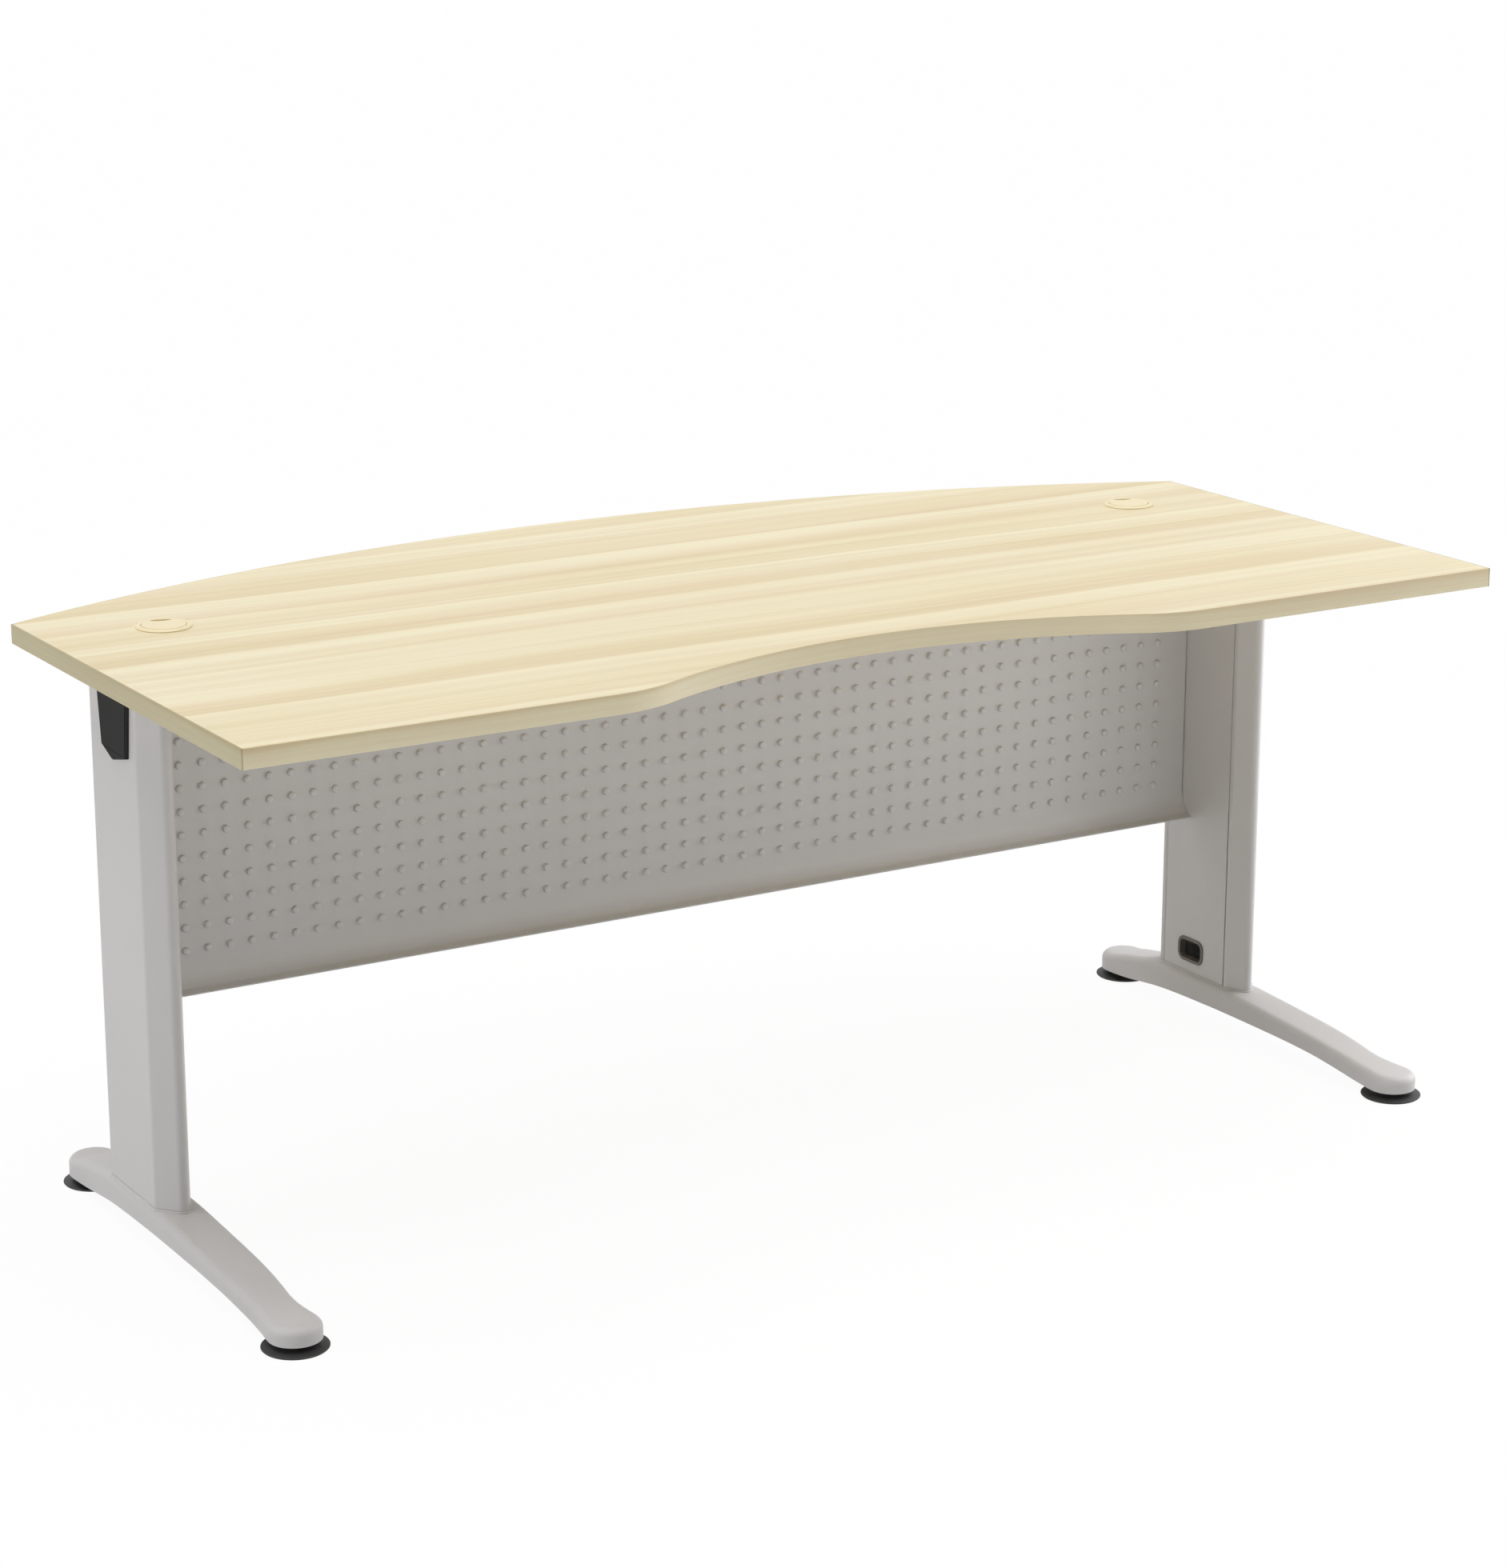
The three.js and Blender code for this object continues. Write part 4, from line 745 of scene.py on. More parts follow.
# %% Sizes of the grommets
FLANGE_RADIUS = 0.0355
FLANGE_HEIGHT = 0.003
FLANGE_EDGE = 0.0012
FLANGE_BEVEL = 0.0024
SLEEVE_WALL = 0.0016
SLEEVE_SKIRT = 0.02
SEAT_GAP = 0.0003
HOLE_CLEARANCE = 0.0003
LEDGE_WIDTH = 0.0022
LEDGE_DEPTH = 0.002
LID_RADIUS = 0.028
LID_ROOM = 0.0006
LID_RISE = 0.0036
LID_THICKNESS = 0.0022
LID_SKIRT = 0.008
LID_ROUNDING = 0.001
SKIRT_MARGIN = 4
SLOT_RADIUS = 0.022
SLOT_DEPTH = 0.011
SLOT_TURN = -14

tube = GROMMET_HOLE - HOLE_CLEARANCE
bore = tube - SLEEVE_WALL
ledge = FLANGE_HEIGHT - LID_THICKNESS
SLEEVE_PROFILE = [
    (bore, -SLEEVE_SKIRT), (tube, -SLEEVE_SKIRT), (tube, SEAT_GAP), (FLANGE_RADIUS, SEAT_GAP),
    (FLANGE_RADIUS, FLANGE_EDGE), (FLANGE_RADIUS - FLANGE_BEVEL, FLANGE_HEIGHT),
    (LID_RADIUS + LID_ROOM, FLANGE_HEIGHT), (LID_RADIUS + LID_ROOM, ledge),
    (LID_RADIUS - LEDGE_WIDTH, ledge), (LID_RADIUS - LEDGE_WIDTH, ledge - LEDGE_DEPTH),
    (bore, ledge - LEDGE_DEPTH),
]
SLEEVE_ROUNDINGS = [0, 0.0005, 0.0004, 0, 0.0004, 0.0006, 0.0004, 0, 0.0004, 0.0004, 0]

slot_centre = LID_RADIUS + SLOT_RADIUS - SLOT_DEPTH
slot_y = (LID_RADIUS ** 2 - SLOT_RADIUS ** 2 + slot_centre ** 2) / (2 * slot_centre)
slot_x = math.sqrt(LID_RADIUS ** 2 - slot_y ** 2)
rim_turn = 360 - 2 * math.degrees(math.atan2(slot_x, slot_y))
bite_turn = 2 * math.degrees(math.atan2(slot_x, slot_centre - slot_y))
underside = ledge + SEAT_GAP
skirt_radius = LID_RADIUS - LEDGE_WIDTH - LID_ROOM
skirt_start = math.degrees(math.atan2(slot_y, slot_x)) + SKIRT_MARGIN
print("slot", round(2000 * slot_x, 1), "mm long, skirt from", round(skirt_start, 1), "degrees")


# %% Mould the grommets
def add_skirt(bm):
    """A wall under the lid that stops short of the slot on both sides."""
    arm = Vector((skirt_radius, 0, underside))
    arm.rotate(Matrix.Rotation(math.radians(180 - skirt_start), 3, "Z"))
    old_edges, old_faces = set(bm.edges), set(bm.faces)
    draw_arc(bm, bm.verts.new(arm), (0, 0, 0), 180 + 2 * skirt_start, 60)
    pull(bm, [edge for edge in bm.edges if edge not in old_edges], (0, 0, -LID_SKIRT))
    skirt = [face for face in bm.faces if face not in old_faces]
    bmesh.ops.recalc_face_normals(bm, faces=skirt)
    if skirt[0].normal.to_2d().dot(skirt[0].calc_center_median().to_2d()) < 0:
        bmesh.ops.reverse_faces(bm, faces=skirt)
    bmesh.ops.solidify(bm, geom=skirt, thickness=SLEEVE_WALL)


for name, (x, y) in GROMMET_PLACES.items():
    bm = bmesh.new()
    on_board = Matrix.Translation((x, y, TOP_HEIGHT))
    turn(bm, SLEEVE_PROFILE, SLEEVE_ROUNDINGS, 72, on_board, closed=True)
    finish_piece(f"{name}_sleeve", bm, cream_plastic, "frame",
                 [f"{name}_grommet_sleeve"])

    bm = bmesh.new()
    first = bm.verts.new((-slot_x, slot_y, LID_RISE))
    tip = draw_arc(bm, first, (0, 0, 0), rim_turn, 72)
    draw_arc(bm, tip, (0, slot_centre, 0), -bite_turn, 20)
    bmesh.ops.remove_doubles(bm, verts=bm.verts[:], dist=DOUBLES)
    cap(bm, bm.edges[:])
    thicken(bm, LID_RISE - underside, (0, 0, 1))
    top_edges = [edge for edge in bm.edges
                 if all(vertex.co.z > LID_RISE - DOUBLES for vertex in edge.verts)]
    soften(bm, LID_ROUNDING, 4, edges=top_edges)
    add_skirt(bm)
    turned_lid = on_board @ Matrix.Rotation(math.radians(SLOT_TURN), 4, "Z")
    bmesh.ops.transform(bm, matrix=turned_lid, verts=bm.verts[:])
    finish_piece(f"{name}_lid_disc", bm, cream_plastic, f"{name}_lid",
                 [f"{name}_grommet_lid"], crease=40)

# %% [markdown]
# ## Leg places
# The legs are mirror images of each other. Their pieces are drawn in a leg's own measure, with X
# pointing outwards from the leg's middle, and a helper moves them to their place on the desk.

# %% Helper for the two legs
LEG_INSET = 0.071
LEG_X = TOP_LENGTH / 2 - LEG_INSET


def to_leg(bm, side):
    """Moves a piece drawn in a leg's own measure to that leg; the left one is mirrored."""
    move = Matrix.Translation((side * LEG_X, 0, 0)) @ Matrix.Diagonal((side, 1, 1, 1))
    bmesh.ops.transform(bm, matrix=move, verts=bm.verts[:])
    if side < 0:
        bmesh.ops.reverse_faces(bm, faces=bm.faces[:])


# %% Plan of the uprights
UPRIGHT_Y = FRONT + 0.378
UPRIGHT_DEPTH = 0.221
UPRIGHT_WIDTH = 0.047
INNER_FACE = -0.019
OUTER_FACE = 0.028
UPRIGHT_WALL = 0.002
UPRIGHT_ROUNDING = 0.009
UPRIGHT_BOTTOM = 0.0603
UPRIGHT_TOP = 0.6994
CORNER_SHARES = [(0.38, 0), (1, 0.167), (1, 0.805), (0.49, 1), (0, 0.873), (0, 0.163)]
OPENING_MARGIN = 0.008

upright_corners = [
    Vector((INNER_FACE + across * UPRIGHT_WIDTH, UPRIGHT_Y + along * UPRIGHT_DEPTH, 0))
    for across, along in CORNER_SHARES
]
OPENING_FRONT = upright_corners[5].y + OPENING_MARGIN
OPENING_REAR = upright_corners[4].y - OPENING_MARGIN
print("leg at", LEG_X, "cover opening", OPENING_FRONT, OPENING_REAR)


# %% [markdown]
# ## Feet
# A foot is an arched casting: low round toes at both ends, a waist behind each toe, and a broad
# back that carries the upright. Its skin is a row of cross-sections bridged one to the next. Each
# section runs up one side, over the rounded shoulder and down the other. The casting is hollow
# underneath, so the skin gets a wall and the bosses for studs and bolts are added inside it.

# %% Shape of the foot
FOOT_LENGTH = 0.685
FOOT_FRONT = FRONT + 0.034
TOE_RADIUS = 0.033
TOE_BOTTOM = 0.012
TOE_TOP = 0.0355
REAR_TOE_TOP = 0.038
FOOT_TOP = 0.0585
ARCH_RISE = 0.0153
SHOULDER = 0.011
FOOT_WALL = 0.004
PAD_TOP = 0.06
TOE_SHARE = TOE_RADIUS / FOOT_LENGTH
# Each station has its place along the foot and its width, top and arch, all as shares.
STATIONS = [
    (TOE_SHARE, 1, 0, 0), (0.082, 0.92, 0.02, 0), (0.114, 0.86, 0.05, 0.05),
    (0.147, 0.85, 0.13, 0.21), (0.184, 0.89, 0.27, 0.45), (0.242, 0.94, 0.46, 0.75),
    (0.315, 0.97, 0.62, 0.93), (0.388, 0.97, 0.75, 0.98), (0.534, 0.97, 0.98, 1),
    (0.593, 0.97, 1, 0.97), (0.709, 0.97, 1, 0.84), (0.768, 0.97, 0.98, 0.69),
    (0.826, 0.96, 0.8, 0.4), (0.87, 0.92, 0.58, 0.12), (0.914, 0.95, 0.34, 0),
    (1 - TOE_SHARE, 1, (REAR_TOE_TOP - TOE_TOP) / (FOOT_TOP - TOE_TOP), 0),
]
FOOT_STEPS = 60
# The degrees at which a toe's rounding is cut, and the points across half of a section
TOE_TURNS = (90, 85, 80, 74, 68, 61, 54, 46, 37, 26, 13)
ACROSS = (1, 0.993, 0.975, 0.945, 0.9, 0.84, 0.76, 0.66, 0.5, 0.28, 0)


def smooth_between(share):
    """The foot's width, top and arch at a share of its length, on curves through the stations."""
    last = len(STATIONS) - 2
    i = max(n for n in range(last + 1) if STATIONS[n][0] <= share + 1e-9)
    a, b = STATIONS[i], STATIONS[i + 1]
    before, after = STATIONS[max(i - 1, 0)], STATIONS[min(i + 2, last + 1)]
    step = b[0] - a[0]
    t = (share - a[0]) / step
    values = []
    for k in (1, 2, 3):
        first_slope = (b[k] - before[k]) / (b[0] - before[0]) * step if i > 0 else 0
        last_slope = (after[k] - a[k]) / (after[0] - a[0]) * step if i < last else 0
        values.append((2 * t ** 3 - 3 * t ** 2 + 1) * a[k] + (t ** 3 - 2 * t ** 2 + t) * first_slope
                      + (3 * t ** 2 - 2 * t ** 3) * b[k] + (t ** 3 - t ** 2) * last_slope)
    return values


def shoulder_height(top, margin):
    """Height of the skin at a distance in from the foot's outline."""
    margin = min(max(margin, 0), SHOULDER)
    return top - SHOULDER + math.sqrt(SHOULDER ** 2 - (SHOULDER - margin) ** 2)


def foot_section(bm, y, radius, past, top, bottom):
    """One section of the skin, past being its distance beyond the middle of a toe."""
    chord = math.sqrt(max(radius ** 2 - past ** 2, 0))
    rise = [bottom, bottom + 0.5 * (top - SHOULDER - bottom)]
    right = [(chord, y, z) for z in rise]
    right += [(share * chord, y, shoulder_height(top, radius - math.hypot(share * chord, past)))
              for share in ACROSS]
    left = [(-x, y, z) for x, y, z in reversed(right[:-1])]
    return trace(bm, right + left)


GLIDE_PLACES = {"front": (FOOT_FRONT + TOE_RADIUS, TOE_TOP),
                "rear": (FOOT_FRONT + FOOT_LENGTH - TOE_RADIUS, REAR_TOE_TOP)}


def toe_sections(bm, end, way, turns):
    """The sections that round off one toe."""
    middle, top = GLIDE_PLACES[end]
    made = []
    for degrees in turns:
        past = TOE_RADIUS * math.sin(math.radians(degrees))
        made.append(foot_section(bm, middle + way * past, TOE_RADIUS, past, top, TOE_BOTTOM))
    return made


def foot_sections(bm):
    made = toe_sections(bm, "front", -1, TOE_TURNS)
    for n in range(FOOT_STEPS + 1):
        share = TOE_SHARE + (1 - 2 * TOE_SHARE) * n / FOOT_STEPS
        width, rise, arch = smooth_between(share)
        top = TOE_TOP + rise * (FOOT_TOP - TOE_TOP)
        made.append(foot_section(bm, FOOT_FRONT + share * FOOT_LENGTH, width * TOE_RADIUS, 0, top,
                                 TOE_BOTTOM + arch * ARCH_RISE))
    return made + toe_sections(bm, "rear", 1, TOE_TURNS[::-1])


# %% Cast the feet
PAD_MARGIN = 0.0015
PAD_DEPTH = 0.012
PAD_EDGE = 0.0008
TOE_BOSS = 0.011
TOE_BOSS_COVER = 0.002
STUD_HOLE = 0.0043
BOLT_BOSS = 0.013
BOLT_BOSS_BOTTOM = 0.038
BOLT_BOSS_TOP = 0.052
BOLT_HOLE = 0.0053
FOOT_BOLT_REACH = 0.05
UPRIGHT_MIDDLE = UPRIGHT_Y + UPRIGHT_DEPTH / 2


def upright_outline(bm, grow, z):
    """The upright's section as a closed loop, grown by a margin."""
    corners = []
    for i, corner in enumerate(upright_corners):
        before, after = upright_corners[i - 1], upright_corners[(i + 1) % 6]
        back, ahead = (corner - before).normalized(), (after - corner).normalized()
        normal = Vector((back.y + ahead.y, -back.x - ahead.x, 0)).normalized()
        reach = grow / normal.dot(Vector((back.y, -back.x, 0)))
        corners.append(corner + normal * reach + Vector((0, 0, z)))
    return trace(bm, corners, UPRIGHT_ROUNDING + grow, 8, closed=True)


def add_boss(bm, y, hole, outside, bottom, top):
    """A ring of metal inside the casting, round a hole for a stud or a bolt."""
    profile = [(hole, bottom), (outside, bottom), (outside, top), (hole, top)]
    turn(bm, profile, [0, 0.0008, 0, 0], 32, Matrix.Translation((0, y, 0)), closed=True)


for name, side in SIDES.items():
    bm = bmesh.new()
    skin(bm, foot_sections(bm))
    settle_faces(bm)
    bmesh.ops.solidify(bm, geom=bm.faces[:], thickness=FOOT_WALL)
    pad_bottom = upright_outline(bm, PAD_MARGIN, PAD_TOP - PAD_DEPTH)
    pad_side = pull(bm, pad_bottom, (0, 0, PAD_DEPTH - PAD_EDGE))
    pad_crown = upright_outline(bm, PAD_MARGIN - PAD_EDGE, PAD_TOP)
    skin(bm, [pad_side, pad_crown])
    cap(bm, pad_crown)
    cap(bm, pad_bottom)
    for y, top in GLIDE_PLACES.values():
        add_boss(bm, y, STUD_HOLE, TOE_BOSS, TOE_BOTTOM, top - TOE_BOSS_COVER)
    for way in (-1, 1):
        add_boss(bm, UPRIGHT_MIDDLE + way * FOOT_BOLT_REACH, BOLT_HOLE, BOLT_BOSS,
                 BOLT_BOSS_BOTTOM, BOLT_BOSS_TOP)
    to_leg(bm, side)
    finish_piece(f"{name}_foot_casting", bm, grey_powder, "frame", [f"{name}_foot"],
                 crease=42)

# %% [markdown]
# ## Uprights
# The upright is a steel shell folded to a long hexagon. Its inner side stays open for cables, and
# each edge of the opening is folded in as a lip. The section is drawn as one open line with
# rounded corners, pulled up to its height, and given the thickness of the steel.

# %% Fold the uprights
LIP_DEPTH = 0.014
LIP_ROUNDING = 0.0025

shell_path = [(INNER_FACE + LIP_DEPTH, OPENING_FRONT, 0), (INNER_FACE, OPENING_FRONT, 0),
              upright_corners[5], *upright_corners[:5], (INNER_FACE, OPENING_REAR, 0),
              (INNER_FACE + LIP_DEPTH, OPENING_REAR, 0)]
shell_roundings = [0, LIP_ROUNDING] + [UPRIGHT_ROUNDING] * 6 + [LIP_ROUNDING, 0]

for name, side in SIDES.items():
    bm = bmesh.new()
    section = trace(bm, shell_path, shell_roundings, 8)
    pull(bm, section, (0, 0, UPRIGHT_TOP - UPRIGHT_BOTTOM))
    bmesh.ops.translate(bm, verts=bm.verts[:], vec=(0, 0, UPRIGHT_BOTTOM))
    thicken(bm, UPRIGHT_WALL, (1, 0, 0))
    to_leg(bm, side)
    finish_piece(f"{name}_upright_shell", bm, grey_powder, "frame",
                 [f"{name}_upright"])

# %% [markdown]
# ## Cable covers and outlets
# A flat plate closes the opening of each upright and leaves a groove down both sides. Low in the
# plate sits a plastic ring for the cables. The plate is a filled rectangle with a rounded hole.
# The ring is a chain of rounded rectangles, each set in or back from the last, and bridged. At
# the seat and at the end, a bridge between loops in one plane joined opposite sides and closed
# the hole, so the loops there lie a tenth of a millimetre apart.

# %% Sizes of the covers and outlets
COVER_GROOVE = 0.001
COVER_THICKNESS = 0.0015
TAB_DEPTH = 0.007
TAB_LENGTH = 0.02
TAB_ROOT = 0.001
TAB_ROUNDING = 0.003
TAB_HEIGHTS = (0.16, 0.27, UPRIGHT_TOP - 0.014)
COVER_ROUNDING = 0.0005
OUTLET_SIZE = (0.058, 0.037)
OUTLET_ROUNDING = 0.013
OUTLET_LIP = 0.0025
OUTLET_WALL = 0.0025
OUTLET_PROUD = 0.0018
OUTLET_DEPTH = 0.009
OUTLET_PLACE = (FRONT + 0.499, 0.093)

seat = INNER_FACE - SEAT_GAP
face = seat - OUTLET_PROUD
end = INNER_FACE + OUTLET_DEPTH
hole = -OUTLET_LIP - OUTLET_WALL
# Each round is a place along X and a margin: up the outside, over the face, down the hole.
OUTLET_ROUNDS = [
    (seat - 0.0001, 0), (face + 0.0008, 0), (face + 0.0002, -0.0003), (face, -0.0009),
    (face, hole + 0.0012), (face + 0.0003, hole + 0.0004), (face + 0.0011, hole),
    (end - 0.0001, hole), (end, hole + 0.0003), (end - 0.0002, -OUTLET_LIP), (seat, -OUTLET_LIP),
]


# %% Helpers for the covers
def rectangle(x, ys, zs):
    """Four corners in the plane of one x."""
    return [(x, ys[0], zs[0]), (x, ys[1], zs[0]), (x, ys[1], zs[1]), (x, ys[0], zs[1])]


def outlet_loop(bm, x, margin):
    """The outlet's rounded outline, grown by a margin, at one x."""
    across, up = OUTLET_SIZE[0] / 2 + margin, OUTLET_SIZE[1] / 2 + margin
    y, z = OUTLET_PLACE
    corners = rectangle(x, (y - across, y + across), (z - up, z + up))
    return trace(bm, corners, OUTLET_ROUNDING + margin, 8, closed=True)


def add_tab(bm, y, inward, height):
    """A small ear behind the cover that clips into the upright."""
    root, tip = INNER_FACE + TAB_ROOT, INNER_FACE + COVER_THICKNESS + TAB_DEPTH
    low, high = height - TAB_LENGTH / 2, height + TAB_LENGTH / 2
    corners = [(root, y, low), (tip, y, low), (tip, y, high), (root, y, high)]
    tab = trace(bm, corners, [0, TAB_ROUNDING, TAB_ROUNDING, 0], 4, closed=True)
    cap(bm, tab)
    cap(bm, pull(bm, tab, (0, inward * COVER_THICKNESS, 0)))


# %% Cut the covers and mould the outlets
for name, side in SIDES.items():
    bm = bmesh.new()
    front, rear = OPENING_FRONT + COVER_GROOVE, OPENING_REAR - COVER_GROOVE
    trace(bm, rectangle(INNER_FACE, (front, rear), (UPRIGHT_BOTTOM, UPRIGHT_TOP)), closed=True)
    outlet_loop(bm, INNER_FACE, -OUTLET_LIP + HOLE_CLEARANCE)
    bmesh.ops.triangle_fill(bm, edges=bm.edges[:], use_beauty=True, normal=(-1, 0, 0))
    thicken(bm, COVER_THICKNESS, (-1, 0, 0))
    long_edges = [edge for edge in bm.edges if height_of(edge) > UPRIGHT_TOP / 2
                  and all(vertex.co.x < INNER_FACE + DOUBLES for vertex in edge.verts)]
    soften(bm, COVER_ROUNDING, 2, edges=long_edges)
    for height in TAB_HEIGHTS:
        add_tab(bm, front, 1, height)
        add_tab(bm, rear, -1, height)
    to_leg(bm, side)
    finish_piece(f"{name}_cover_plate", bm, grey_powder, "frame",
                 [f"{name}_cable_cover"])

    bm = bmesh.new()
    skin(bm, [outlet_loop(bm, x, margin) for x, margin in OUTLET_ROUNDS], closed=True)
    to_leg(bm, side)
    finish_piece(f"{name}_outlet_ring", bm, outlet_plastic, "frame",
                 [f"{name}_cable_outlet"])

# %% [markdown]
# ## Bracket caps
# High on the outer face of each leg, a shield-shaped black cap covers the bracket. It is a flat
# moulding with a chamfer all round: an outline is drawn, pulled out, inset with depth for the
# chamfer, and its edges are softened. Two pegs behind it go into the leg.

# %% Mould the caps
CAP_SIZE = (0.095, 0.099)
CAP_SHARES = [(0, 1), (0.11, 0.1), (0.56, 0), (0.9, 0.13), (1, 1)]
CAP_FRONT = FRONT + 0.426
CAP_BOTTOM = UNDERSIDE - 0.005 - CAP_SIZE[1]
CAP_THICKNESS = 0.005
CAP_CHAMFER = 0.002
CAP_CORNER = 0.0012
CAP_ROUNDING = 0.0003
PEG_SPACING = 0.05
PEG_DROP = 0.05
PEG_PROFILE = [(0, -0.001), (0.003, -0.001), (0.003, 0.008), (0, 0.008)]

cap_seat = OUTER_FACE + SEAT_GAP
pegs_inward = Matrix.Rotation(math.radians(-90), 4, "Y")

for name, side in SIDES.items():
    bm = bmesh.new()
    corners = [(cap_seat, CAP_FRONT + across * CAP_SIZE[0], CAP_BOTTOM + up * CAP_SIZE[1])
               for across, up in CAP_SHARES]
    outline = trace(bm, corners, CAP_CORNER, 4, closed=True)
    cap(bm, outline)
    cap(bm, pull(bm, outline, (CAP_THICKNESS - CAP_CHAMFER, 0, 0)))
    bmesh.ops.recalc_face_normals(bm, faces=bm.faces[:])
    front_face = [face for face in bm.faces if face.normal.x > 0.9]
    bmesh.ops.inset_region(bm, faces=front_face, thickness=CAP_CHAMFER, depth=CAP_CHAMFER,
                           use_even_offset=True)
    soften(bm, CAP_ROUNDING, 2, 25)
    for way in (-1, 1):
        y = CAP_FRONT + CAP_SIZE[0] / 2 + way * PEG_SPACING / 2
        place = Matrix.Translation((cap_seat, y, UNDERSIDE - PEG_DROP)) @ pegs_inward
        turn(bm, PEG_PROFILE, [0, 0, 0.0012, 0], 20, place)
    to_leg(bm, side)
    finish_piece(f"{name}_shield_cap", bm, cap_plastic, "frame",
                 [f"{name}_bracket_cap"], crease=25)

# %% [markdown]
# ## Bearers
# A bearer is a hat-shaped channel under the worktop. It is bolted down to the leg and screwed up
# to the board, and its ends are cut on a slope so that they don't show. The section is pulled
# along the desk's depth, and a plane cuts each slope.

# %% Press the bearers
BEARER_FRONT = FRONT + 0.11
BEARER_LENGTH = 0.53
BEARER_HEIGHT = 0.025
BEARER_WEB = 0.04
BEARER_LIP = 0.015
BEARER_SHEET = 0.0025
BEARER_BOTTOM = UNDERSIDE - SEAT_GAP - BEARER_HEIGHT
TAPER_LENGTH = 0.06
TAPER_SLOPE = math.atan2(0.018, 0.065)
BEARER_ROUNDINGS = [0, 0.002, 0.004, 0.004, 0.002, 0]

web, lip = BEARER_WEB / 2, BEARER_WEB / 2 + BEARER_LIP
lip_level = BEARER_BOTTOM + BEARER_HEIGHT - BEARER_SHEET
bearer_path = [(-lip, lip_level), (-web, lip_level), (-web, BEARER_BOTTOM), (web, BEARER_BOTTOM),
               (web, lip_level), (lip, lip_level)]
for name, side in SIDES.items():
    bm = bmesh.new()
    corners = [(x, BEARER_FRONT, z) for x, z in bearer_path]
    pull(bm, trace(bm, corners, BEARER_ROUNDINGS, 5), (0, BEARER_LENGTH, 0))
    for end, way in ((BEARER_FRONT, -1), (BEARER_FRONT + BEARER_LENGTH, 1)):
        bmesh.ops.bisect_plane(
            bm, geom=everything(bm), plane_co=(0, end - way * TAPER_LENGTH, BEARER_BOTTOM),
            plane_no=(0, way * math.sin(TAPER_SLOPE), -math.cos(TAPER_SLOPE)), clear_outer=True)
    thicken(bm, BEARER_SHEET, (0, 0, -1))
    to_leg(bm, side)
    finish_piece(f"{name}_bearer_channel", bm, black_powder, "frame",
                 [f"{name}_bearer"])

# %% [markdown]
# ## Modesty panel
# The screen between the legs is one folded steel sheet, pressed with a square grid of round
# bumps that stand out towards the user. A single tile is made first: a steep-sided bump in a
# square. It is repeated along the row and the row is repeated upwards. The border of that field
# is then pulled and swung outwards: round the end folds, over the top, and down through the
# lower edge, which rolls out towards the user, ends in a lip that leans out further and runs on
# to the legs.

# %% Sizes of the modesty panel
PANEL_Y = FRONT + 0.53
PANEL_SHEET = 0.002
PANEL_TOP = UNDERSIDE - 0.0255
PANEL_END = LEG_X + INNER_FACE - SEAT_GAP
PANEL_FOLD = 0.003
PANEL_FLANGE = 0.025
PANEL_RETURN = PANEL_FLANGE - PANEL_FOLD - PANEL_SHEET - 0.001
PANEL_BOTTOM = 0.2945
ROLL_RADIUS = 0.04
ROLL_DEGREES = 45
PANEL_LIP = 0.009
LIP_DEGREES = 70
PITCH = 0.0302
COLUMNS = 51
ROWS = 11
FIRST_ROW = PANEL_BOTTOM + 0.0511
NEAR = 0.0001
BUMP_HEIGHT = 0.0041
# Each ring of a bump has its radius and its height.
BUMP_RINGS = ((0.0028, 0.004), (0.0042, 0.0035), (0.0048, 0.0026), (0.0051, 0.0))
ROLL_TOP = (PANEL_BOTTOM + PANEL_LIP * math.cos(math.radians(LIP_DEGREES))
            + ROLL_RADIUS * math.sin(math.radians(ROLL_DEGREES)))


# %% Press the field of bumps
def repeat(bm, step, times):
    """Copies all that is there along a step, so many times in all."""
    pattern = everything(bm)
    for n in range(1, times):
        made = bmesh.ops.duplicate(bm, geom=pattern)["geom"]
        bmesh.ops.translate(bm, verts=vertices_in(made), vec=Vector(step) * n)


bm = bmesh.new()
bmesh.ops.create_circle(bm, cap_ends=True, cap_tris=True, segments=12, radius=BUMP_RINGS[0][0])
bmesh.ops.rotate(bm, verts=bm.verts[:], matrix=Matrix.Rotation(math.radians(15), 3, "Z"))
for vertex in bm.verts:
    vertex.co.z = BUMP_HEIGHT if vertex.co.length < DOUBLES else BUMP_RINGS[0][1]
ring = [edge for edge in bm.edges if edge.is_boundary]
for radius, height in BUMP_RINGS[1:]:
    ring = pull(bm, ring, (0, 0, 0))
    for vertex in chain_vertices(ring):
        vertex.co.xy = vertex.co.xy.normalized() * radius
        vertex.co.z = height
ring = pull(bm, ring, (0, 0, 0))
for vertex in chain_vertices(ring):
    vertex.co.xy = vertex.co.xy * (PITCH / 2 / max(abs(vertex.co.x), abs(vertex.co.y)))
print("faces in one tile", len(bm.faces))
bmesh.ops.transform(bm, verts=bm.verts[:], matrix=Matrix.Rotation(math.radians(90), 4, "X"))
bmesh.ops.translate(bm, verts=bm.verts[:], vec=(-PITCH * (COLUMNS - 1) / 2, PANEL_Y, FIRST_ROW))
repeat(bm, (PITCH, 0, 0), COLUMNS)
repeat(bm, (0, 0, PITCH), ROWS)
bmesh.ops.remove_doubles(bm, verts=bm.verts[:], dist=NEAR)
print("bumps", COLUMNS * ROWS, "faces", len(bm.faces))


# %% Fold the modesty panel
def border(bm, reach):
    """The open edges whose two ends both pass a test."""
    return [edge for edge in bm.edges
            if edge.is_boundary and all(reach(vertex.co) for vertex in edge.verts)]


